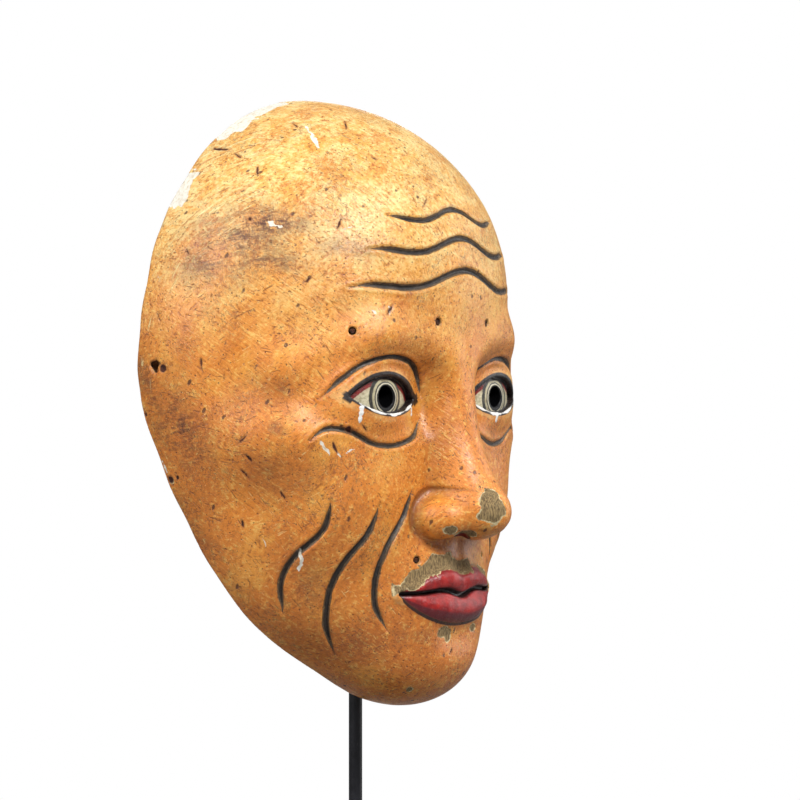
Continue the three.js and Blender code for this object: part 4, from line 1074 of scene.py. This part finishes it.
def enamel():
    """Black powder coat: a fine pebble, dust on what faces up, a few rubbed spots."""
    g = Mat("black_enamel_fine")
    geo = g.t.nodes.new("ShaderNodeNewGeometry")
    up = g.xyz(geo.outputs["Normal"])[2]
    fine, mid = g.noise(g.mm, 0.55, 4, 0.6), g.noise(g.mm, 5.0, 5, 0.62)
    col = g.mix(g.step(mid, 0.35, 0.7), lin(19, 19, 24), lin(30, 30, 36))
    col = g.mix(g.mul(g.step(fine, 0.58, 0.72), 0.5), col, lin(46, 46, 52))
    rub = g.noise(g.place((1, 1, 0.16), (4, 3, 0)), 1.2, 6, 0.72, 0.3)
    rubm = g.mul(g.step(rub, 0.64, 0.7), g.step(g.noise(g.mm, 14, 3, 0.6), 0.5, 0.62))
    col = g.mix(g.mul(rubm, 0.7), col, lin(84, 80, 76))
    dust = g.mul(g.step(up, 0.55, 0.98), g.step(g.add(g.mul(g.noise(g.mm, 1.6, 6, 0.75), 0.6), g.mul(g.noise(g.mm, 22, 4, 0.6), 0.5)), 0.48, 0.66))
    col = g.mix(g.mul(dust, 0.3), col, lin(140, 132, 120))
    lint = g.mul(g.step(g.noise(g.place((0.12, 1.6, 1.0), (0, 0, 33)), 0.5, 3, 0.6, 0.6), 0.71, 0.76), g.step(up, 0.6, 0.95))
    col = g.mix(g.mul(lint, 0.6), col, lin(176, 170, 160))
    g.set("Base Color", col)
    g.set("Roughness", g.lerp(g.step(mid, 0.3, 0.7), g.lerp(dust, 0.34, 0.62), g.lerp(dust, 0.48, 0.72)))
    g.set("Specular IOR Level", 0.45)
    peel = g.add(g.mul(g.noise(g.mm, 0.9, 2, 0.5), 0.7), g.mul(fine, 0.3))
    g.set("Normal", g.bump(g.sub(peel, g.mul(rubm, 0.4)), 0.00009, 0.8))
    return g.m

def steel(name, ringscale, tint=(1, 1, 1)):
    """Turned steel: rings about its axis, dull handling film, small stains."""
    g = Mat(name)
    ring = g.noise(g.place(ringscale), 0.5, 3, 0.6)
    mid, fine = g.noise(g.mm, 2.6, 5, 0.65), g.noise(g.mm, 0.5, 4, 0.7)
    col = g.mix(g.step(ring, 0.35, 0.65), lin(186, 186, 188), lin(150, 150, 152))
    col = g.mix(g.mul(g.step(mid, 0.46, 0.66), 0.5), col, lin(120, 112, 102))
    spot = g.mul(g.step(fine, 0.62, 0.7), g.step(mid, 0.5, 0.62))
    col = g.mix(g.mul(spot, 0.6), col, lin(94, 66, 46))
    g.set("Base Color", col)
    g.set("Metallic", g.lerp(spot, 1.0, 0.3))
    g.set("Roughness", g.lerp(g.step(mid, 0.35, 0.65), g.lerp(g.step(ring, 0.4, 0.6), 0.24, 0.34), 0.46))
    g.set("Normal", g.bump(g.add(g.mul(ring, 0.7), g.mul(fine, 0.3)), 0.00005, 0.7))
    return g.m

def rubber():
    g = Mat("pad_rubber_fine")
    mid, fine = g.noise(g.mm, 2.2, 5, 0.65), g.noise(g.mm, 0.35, 4, 0.7)
    col = g.mix(g.step(mid, 0.38, 0.66), lin(32, 32, 34), lin(52, 50, 48))
    col = g.mix(g.mul(g.step(fine, 0.56, 0.7), 0.5), col, lin(92, 86, 76))
    g.set("Base Color", col)
    g.set("Roughness", g.lerp(mid, 0.7, 0.92))
    g.set("Specular IOR Level", 0.35)
    g.set("Normal", g.bump(g.add(g.mul(fine, 0.6), g.mul(mid, 0.6)), 0.00012, 0.8))
    return g.m

def felt_cloth():
    g = Mat("felt_fine")
    f1 = g.noise(g.place((1, 0.22, 1), (0, 0, 25)), 0.5, 4, 0.7, 1.5)
    f2_ = g.noise(g.place((0.22, 1, 1), (0, 0, -35)), 0.55, 4, 0.7, 1.5)
    hair = g.mx(f1, f2_)
    col = g.mix(g.step(hair, 0.45, 0.68), lin(26, 38, 32), lin(62, 82, 70))
    col = g.mix(g.mul(g.step(g.noise(g.mm, 1.2, 5, 0.75), 0.6, 0.7), 0.4), col, lin(120, 126, 114))
    g.set("Base Color", col)
    g.set("Roughness", 0.96)
    g.set("Sheen Weight", 0.35)
    g.set("Specular IOR Level", 0.15)
    g.set("Normal", g.bump(hair, 0.0004, 0.9))
    return g.m

def rusty():
    g = Mat("nail_iron_fine")
    mid, fine = g.noise(g.mm, 0.9, 5, 0.7), g.noise(g.mm, 0.3, 4, 0.7)
    col = g.mix(g.step(mid, 0.36, 0.64), lin(52, 34, 26), lin(96, 54, 34))
    col = g.mix(g.mul(g.step(fine, 0.52, 0.66), 0.6), col, lin(30, 24, 22))
    g.set("Base Color", col)
    g.set("Metallic", g.lerp(g.step(fine, 0.55, 0.4), 0.1, 0.5))
    g.set("Roughness", g.lerp(mid, 0.6, 0.9))
    g.set("Normal", g.bump(g.add(mid, g.mul(fine, 0.5)), 0.0002, 0.9))
    return g.m

BLACK, RUBBER, FELT, RUST = enamel(), rubber(), felt_cloth(), rusty()
STEEL_X, STEEL_Y, STEEL_Z = steel("plain_steel_x", (6, 0.4, 0.4)), steel("plain_steel_y", (0.4, 6, 0.4)), steel("plain_steel_z", (0.4, 0.4, 6))

# foot
def square(h, r, n=10, side=13):
    pts = []
    for cx, cy, a0 in ((h - r, -h + r, -90), (h - r, h - r, 0), (-h + r, h - r, 90), (-h + r, -h + r, 180)):
        pts += [(cx + r * math.cos(math.radians(a0 + 90 * k / n)), cy + r * math.sin(math.radians(a0 + 90 * k / n))) for k in range(n + 1)]
        (x, y), s_, c_ = pts[-1], math.sin(math.radians(a0 + 90)), math.cos(math.radians(a0 + 90))
        pts += [(x - s_ * 2 * (h - r) * k / (side + 1), y + c_ * 2 * (h - r) * k / (side + 1)) for k in range(1, side + 1)]
    return pts

def bm_slab(levels, r0, bore):
    """A square plate with a round hole: levels are (half side, z) on the outside, bore is (radius, z) on the inside."""
    bm = bmesh.new()
    def ring(h, z):
        return [bm.verts.new((x, y, z)) for x, y in square(h, max(r0 - (levels[len(levels) // 2][0] - h), 0.6))]
    outer_ = [ring(h, z) for h, z in levels]
    inner_ = []
    ang = [math.atan2(v.co.y, v.co.x) for v in outer_[len(levels) // 2]]
    for r, z in bore:
        inner_.append([bm.verts.new((r * math.cos(a), r * math.sin(a), z)) for a in ang])
    loops, n = outer_ + inner_, len(ang)
    for a, b in zip(loops, loops[1:] + loops[:1]):
        for k in range(n):
            j = (k + 1) % n
            bm.faces.new((a[k], a[j], b[j], b[k]))
    return bm

def arc(c, r, a0, a1, n=5):
    return [(c[0] + r * math.cos(math.radians(a0 + (a1 - a0) * k / n)), c[1] + r * math.sin(math.radians(a0 + (a1 - a0) * k / n))) for k in range(n + 1)]

# outside from the underside up round both edges, then in over the top and down the bolt's hole
lv = [(58.4, 2.0)] + arc((58.8, 3.2), 1.2, -90, 0) + arc((58.8, 14.8), 1.2, 0, 90)
bore = [(3.9, 16.0), (3.4, 15.5), (3.4, 6.6), (6.1, 6.6), (6.4, 6.3), (6.4, 2.3), (6.7, 2.0)]
plate = finish_mesh("foot_plate", bm_slab(lv, 4.0, bore), BLACK, "base_plate", "stand_base", 30)
bm = bmesh.new()
lv = [(56.7, 0.0), (57.0, 0.25), (57.0, 1.45), (56.7, 1.7)]
sq = [square(h, 1.2) for h, z in lv]
rows = [[bm.verts.new((x, y, z)) for x, y in pts] for pts, (h, z) in zip(sq, lv)]
for a, b in zip(rows, rows[1:]):
    for k in range(len(a)):
        bm.faces.new((a[k], a[(k + 1) % len(a)], b[(k + 1) % len(a)], b[k]))
bm.faces.new(rows[0][::-1]); bm.faces.new(rows[-1])
finish_mesh("foot_felt", bm, FELT, "base_felt", "stand_base", 40)
bolt = finish_mesh("foot_bolt", bm_lathe(bmesh.new(), rounded([(0, 2.2), (5.9, 2.2), (5.9, 6.2), (3.0, 6.2), (3.0, 23.7), (0, 23.7)], 0.35), 48), STEEL_Z, "base_bolt", "stand_base")
hexs = bmesh.new()
bm_lathe(hexs, [(0, 1.0), (3.0, 1.0), (3.0, 4.6), (0, 5.0)], 6)
cut(bolt, [cutter(hexs)])
bolt.data.set_sharp_from_angle(angle=math.radians(35))

# socket, collar, thumb screws
def side_hole(r, z, y1=20.0):
    return cutter(bm_lathe(bmesh.new(), [(0, 0), (r, 0), (r, y1), (0, y1)], 40, (0, 0, z), (0, 1, 0)))

prof = rounded([(0, 27.5), (2.62, 27.5), (2.62, 73.3), (3.1, TUBE_Z1), (6.2, TUBE_Z1), (7.0, TUBE_Z1 - 0.8), (7.0, 20.6), (7.6, 19.4), (9.5, 18.8), (9.5, TUBE_Z0), (3.3, TUBE_Z0), (3.3, 24.5), (0, 24.5)], 0.4)
tube = finish_mesh("socket_turned", bm_lathe(bmesh.new(), prof, 96), BLACK, "socket_tube", "stand_base")
cut(tube, [side_hole(1.85, SCREW_Z)])
prof = [(2.62, COLLAR_Z0 + 0.4), (3.0, COLLAR_Z0), (6.9, COLLAR_Z0), (7.3, COLLAR_Z0 + 0.2), (7.5, COLLAR_Z0 + 0.6), (7.5, COLLAR_Z0 + 1.5), (7.2, COLLAR_Z0 + 1.8), (7.5, COLLAR_Z0 + 2.1),
        (7.5, COLLAR_Z0 + 6.9), (7.2, COLLAR_Z0 + 7.2), (7.5, COLLAR_Z0 + 7.5), (7.5, COLLAR_Z0 + 8.4), (7.3, COLLAR_Z0 + 8.8), (6.9, COLLAR_Z0 + 9), (3.0, COLLAR_Z0 + 9), (2.62, COLLAR_Z0 + 8.6)]
collar = finish_mesh("stop_collar_turned", bm_lathe(bmesh.new(), prof, 96), BLACK, "stop_collar", "collar")
cut(collar, [side_hole(1.85, COLLAR_Z0 + 4.5)])
for o in (tube, collar):
    o.data.polygons.foreach_set("use_smooth", np.ones(len(o.data.polygons), bool))
    o.data.set_sharp_from_angle(angle=math.radians(35))

def knurled(r_big, n, depth, lo, hi):
    """Radius factor: straight knurls on the band between two radii, smooth elsewhere."""
    def f_(a, r, h):
        if r < r_big - 0.45:
            return 1.0
        t_ = abs(((a * n / (2 * math.pi)) % 1.0) * 2 - 1)
        return 1.0 - depth / r_big * sstep(0.25, 0.85, t_)
    return f_

def thumb(name, z, head_y, r, node, body):
    y0, h = ROD_R + 0.15, head_y
    prof = [(0, y0), (1.1, y0), (1.5, y0 + 0.4), (1.5, h - 1.2), (2.6, h - 1.2), (2.8, h - 1.0), (2.8, h), (r - 0.9, h), (r - 0.45, h + 0.12), (r - 0.1, h + 0.5), (r, h + 0.8),
            (r, h + 6.2), (r - 0.1, h + 6.5), (r - 0.45, h + 6.88), (r - 0.9, h + 7.0), (r - 1.5, h + 7.0), (r - 1.7, h + 6.75), (0.9, h + 6.75), (0.55, h + 6.6), (0, h + 6.5)]
    bm = bm_lathe(bmesh.new(), prof, 168, (0, 0, z), (0, 1, 0), knurled(r, 21, 0.42, 0, 0))
    return finish_mesh(name, bm, STEEL_Y, node, body, 30)

thumb("socket_thumb_screw", SCREW_Z, 8.9, 4.6, "socket_screw", "socket_screw")
thumb("collar_thumb_screw", COLLAR_Z0 + 4.5, 9.4, 4.6, "collar_screw", "collar_screw")

# rod, clevis, tilt joint
finish_mesh("display_rod", bm_lathe(bmesh.new(), rounded([(0, ROD_Z0), (ROD_R - 0.5, ROD_Z0), (ROD_R, ROD_Z0 + 0.5), (ROD_R, ROD_Z1 - 0.3), (ROD_R - 0.3, ROD_Z1), (0, ROD_Z1)], 0.2), 64), BLACK, "post_rod", "post")

def tool_x(r, z, x0=-30, x1=30):
    return cutter(bm_lathe(bmesh.new(), [(0, x0), (r, x0), (r, x1), (0, x1)], 48, (0, 0, z), (1, 0, 0)))

def tool_z(r, z0, z1):
    return cutter(bm_lathe(bmesh.new(), [(0, z0), (r, z0), (r, z1), (0, z1)], 48))

def tool_box(x0, x1, y0, y1, z0, z1):
    return cutter(bm_prism([(y0, z0), (y1, z0), (y1, z1), (y0, z1)], x0, x1))

ear = [(-5.5, 207.5), (5.5, 207.5)] + arc((0, 228.5), 5.5, 0, 180, 28)
clevis = finish_mesh("clevis_milled", bm_prism(ear, -6, 6), BLACK, "post_clevis", "post")
cut(clevis, [tool_box(-2.6, 2.6, -20, 20, 221.2, 260), tool_z(2.7, 200, 217.8), tool_x(2.3, PIVOT_Z)])
ease(clevis, 0.35)

prof = rounded([(0, -10.5), (2.6, -10.5), (3.6, -9.9), (3.6, -7.5), (2.0, -7.5), (2.0, 15.2), (1.6, 15.6), (0, 15.6)], 0.3)
tb = finish_mesh("tilt_pivot_bolt", bm_lathe(bmesh.new(), prof, 64, (0, 0, PIVOT_Z), (1, 0, 0)), STEEL_X, "tilt_bolt", "post")
cut(tb, [cutter(bm_lathe(bmesh.new(), [(0, -12), (1.7, -12), (1.7, -8.9), (0, -8.5)], 6, (0, 0, PIVOT_Z), (1, 0, 0)))])
tb.data.set_sharp_from_angle(angle=math.radians(35))
for nm, node, a, b in (("washer_right", "tilt_washer_right", -7.2, -6.3), ("washer_left", "tilt_washer_left", 6.3, 7.2)):
    prof = [(2.3, a + 0.12), (2.42, a), (4.4, a), (4.6, a + 0.18), (4.6, b - 0.18), (4.4, b), (2.42, b), (2.3, b - 0.12)]
    finish_mesh(nm, bm_lathe(bmesh.new(), prof, 64, (0, 0, PIVOT_Z), (1, 0, 0)), STEEL_X, node, "post")
prof = [(2.3, 7.7), (2.5, 7.5), (3.6, 7.5), (3.8, 7.7), (3.8, 8.4), (5.0, 8.4), (5.6, 8.55), (5.9, 8.9), (6.0, 9.2), (6.0, 13.1), (5.9, 13.4), (5.6, 13.75), (5.0, 13.9), (4.3, 13.9), (4.1, 13.65), (2.9, 13.65), (2.7, 13.9), (2.5, 13.9), (2.3, 13.7)]
finish_mesh("tilt_knob_knurled", bm_lathe(bmesh.new(), prof, 192, (0, 0, PIVOT_Z), (1, 0, 0), knurled(6.0, 24, 0.45, 0, 0)), STEEL_X, "tilt_knob", "tilt_knob", 30)

# head block, grub screws, arms
tang = arc((0, PIVOT_Z), 4.9, 180, 360, 28) + [(4.9, 238), (-4.9, 238)]
block = finish_mesh("head_block_milled", bm_prism([(-6, BLOCK_Z0), (6, BLOCK_Z0), (6, BLOCK_Z1), (-6, BLOCK_Z1)], -7, 7), BLACK, "head_block", "head")
cut(block, [cutter(bm_prism(tang, -2.2, 2.2))], "UNION")
cut(block, [tool_x(2.3, PIVOT_Z), tool_x(2.3, CROSS_Z), tool_z(2.3, CROSS_Z + 4, 270), side_hole(1.55, CROSS_Z), side_hole(1.55, BLOCK_Z1 - 4)])
ease(block, 0.4)
for nm, node, z in (("grub_cross", "cross_arm_screw", CROSS_Z), ("grub_top", "top_arm_screw", BLOCK_Z1 - 4)):
    o = finish_mesh(nm, bm_lathe(bmesh.new(), [(0, 2.25), (0.9, 2.25), (1.25, 2.6), (1.25, 6.25), (1.05, 6.45), (0, 6.45)], 40, (0, 0, z), (0, 1, 0)), STEEL_Y, node, "head")
    cut(o, [cutter(bm_lathe(bmesh.new(), [(0, 5.2), (0.66, 5.2), (0.66, 8.0), (0, 8.0)], 6, (0, 0, z), (0, 1, 0)))])
    o.data.set_sharp_from_angle(angle=math.radians(35))

def world(x, f, z):
    return Vector((x, ROD_F - f, MASK_Z + z))

run = (42.0 - ROD_F) / 0.768
top_pts = [world(0, ROD_F, CROSS_Z - MASK_Z + 4.6), world(0, ROD_F, 68.4 - run * 0.64), world(0, 42.0, 68.4)]
finish_mesh("top_arm_bent", bm_sweep(top_pts, 4, ARM_R, 32, 12), BLACK, "top_arm", "head")
corner = 46.9 - ((38.0 - ROD_F) / 0.342) * 0.94
zc = CROSS_Z - MASK_Z
cross_pts = [world(-46.9, 38.0, zc), world(-corner, ROD_F, zc), world(corner, ROD_F, zc), world(46.9, 38.0, zc)]
finish_mesh("cross_arm_bent", bm_sweep(cross_pts, 3, ARM_R, 32, 12), BLACK, "cross_arm", "head")
pad = [(0, 0.35), (2.1, 0.35), (2.35, 0.1), (2.35, -4.9), (2.5, -5.0), (3.1, -5.0), (3.6, -4.85), (3.9, -4.4), (4.0, -3.9), (4.0, -3.2), (3.8, -3.0), (4.0, -2.8), (4.0, 1.2), (3.92, 1.9), (3.7, 2.6), (3.3, 3.2), (2.7, 3.8), (1.9, 4.25), (1.0, 4.5), (0, 4.6)]
for nm, node, tip, back in (("pad_top", "top_pad", top_pts[2], top_pts[1]), ("pad_right", "side_pad_right", cross_pts[0], cross_pts[1]), ("pad_left", "side_pad_left", cross_pts[3], cross_pts[2])):
    finish_mesh(nm, bm_lathe(bmesh.new(), pad, 56, tuple(tip), tuple(tip - back)), RUBBER, node, "head")

# broken-off nails
for nm, x, z in (("brow_nail_outer_right", -52, 24), ("brow_nail_inner_right", -13, 27), ("brow_nail_inner_left", 13, 27), ("brow_nail_outer_left", 52, 24), ("lip_nail_right", -19, -55), ("lip_nail_left", 19, -55)):
    p, d = NAILS[(abs(x), z)]
    sg = -1.0 if x < 0 else 1.0
    p, d = world(p[0] * sg, p[1], p[2]), Vector((d[0] * sg, -d[1], d[2]))
    jag = lambda a, r, h, k=x: 1.0 + 0.08 * math.sin(3 * a + k) + 0.05 * math.sin(5 * a + h * 2.1)
    prof = [(0, -6.6), (0.5, -6.6), (0.74, -6.3), (0.76, -5.0), (0.8, -3.5), (0.84, -2.0), (0.88, -0.9), (0.86, -0.55), (0.6, -0.4), (0.36, -0.62), (0, -0.5)]
    finish_mesh(nm + "_stub", bm_lathe(bmesh.new(), prof, 28, tuple(p), tuple(d), jag), RUST, nm, "mask")

bpy.data.materials.remove(EMPTY)

# ---------------------------------------------------------------- light, floor, camera
def softbox(name, loc, target, size, power, color=(1, 1, 1)):
    l = bpy.data.lights.new(name, "AREA")
    l.shape = "RECTANGLE"
    l.size, l.size_y = size
    l.energy = power
    l.color = color
    o = bpy.data.objects.new(name, l)
    bpy.context.scene.collection.objects.link(o)
    o.location = loc
    o.rotation_euler = (Vector(target) - Vector(loc)).to_track_quat("-Z", "Y").to_euler()
    return o

C = Vector((0, -0.0202, 0.2323))
VD = Vector((0.788, 0.616, 0.0))                   # the way the camera looks
VR = Vector((0.616, -0.788, 0.0))
softbox("key", C - VD * 0.80 + VR * 0.45 + Vector((0, 0, 0.80)), C, (0.42, 0.36), 14.3)
softbox("fill_left", C - VD * 0.7 - VR * 1.0 + Vector((0, 0, 0.75)), C, (0.6, 0.9), 11.2)
softbox("rim_right", C + VD * 0.45 + VR * 1.1 + Vector((0, 0, 0.3)), C, (0.6, 1.0), 5.0)
softbox("back", C + VD * 1.1 - VR * 0.15 + Vector((0, 0, 0.12)), C, (0.5, 0.5), 3.2)

w = bpy.data.worlds.new("studio")
bpy.context.scene.world = w
w.use_nodes = True
nt = w.node_tree
bg = nt.nodes["Background"]
lp = nt.nodes.new("ShaderNodeLightPath")
tcw = nt.nodes.new("ShaderNodeTexCoord")
sep = nt.nodes.new("ShaderNodeSeparateXYZ")
nt.links.new(tcw.outputs["Generated"], sep.inputs[0])
mrw = nt.nodes.new("ShaderNodeMapRange")
mrw.interpolation_type = "SMOOTHSTEP"
for i, v in enumerate((-0.3, 0.9, 0.05, 0.4)):
    mrw.inputs[i + 1].default_value = v
nt.links.new(sep.outputs["Z"], mrw.inputs[0])
mixn = nt.nodes.new("ShaderNodeMix")
mixn.data_type = "FLOAT"
nt.links.new(lp.outputs["Is Camera Ray"], mixn.inputs[0])
nt.links.new(mrw.outputs[0], mixn.inputs[2])
mixn.inputs[3].default_value = 1.0
nt.links.new(mixn.outputs[0], bg.inputs["Strength"])
bg.inputs["Color"].default_value = (1, 1, 1, 1)

bpy.ops.mesh.primitive_circle_add(vertices=96, radius=6.0, fill_type="NGON", location=(0, 0, -0.0002))
floor = bpy.context.object
floor.name = "floor"
fm = bpy.data.materials.new("pale_floor")
fm.use_nodes = True
t = fm.node_tree
pb = t.nodes["Principled BSDF"]
lpf = t.nodes.new("ShaderNodeLightPath")
fcm = t.nodes.new("ShaderNodeMix"); fcm.data_type = "RGBA"
t.links.new(lpf.outputs["Is Camera Ray"], fcm.inputs[0])
fcm.inputs[6].default_value, fcm.inputs[7].default_value = (0.2, 0.2, 0.2, 1), (0.86, 0.86, 0.86, 1)
t.links.new(fcm.outputs[2], pb.inputs["Base Color"])
pb.inputs["Roughness"].default_value = 0.6
em = t.nodes.new("ShaderNodeEmission")
geo = t.nodes.new("ShaderNodeNewGeometry")
ln_ = t.nodes.new("ShaderNodeVectorMath"); ln_.operation = "LENGTH"
t.links.new(geo.outputs["Position"], ln_.inputs[0])
mr = t.nodes.new("ShaderNodeMapRange"); mr.interpolation_type = "SMOOTHSTEP"
mr.inputs[1].default_value, mr.inputs[2].default_value = 0.18, 0.62
t.links.new(ln_.outputs["Value"], mr.inputs[0])
lp2 = t.nodes.new("ShaderNodeLightPath")
mm_ = t.nodes.new("ShaderNodeMath"); mm_.operation = "MULTIPLY"
t.links.new(mr.outputs[0], mm_.inputs[0]); t.links.new(lp2.outputs["Is Camera Ray"], mm_.inputs[1])
ms = t.nodes.new("ShaderNodeMixShader")
t.links.new(mm_.outputs[0], ms.inputs[0])
t.links.new(pb.outputs[0], ms.inputs[1]); t.links.new(em.outputs[0], ms.inputs[2])
t.links.new(ms.outputs[0], t.nodes["Material Output"].inputs[0])
floor.data.materials.append(fm)

cam = bpy.data.cameras.new("camera")
cam.lens, cam.sensor_width = 140.0, 36.0
camo = bpy.data.objects.new("camera", cam)
bpy.context.scene.collection.objects.link(camo)
camo.location = C - VD * 1.1
camo.rotation_euler = VD.to_track_quat("-Z", "Y").to_euler()
bpy.context.scene.camera = camo
bpy.context.scene.view_settings.view_transform = "Standard"
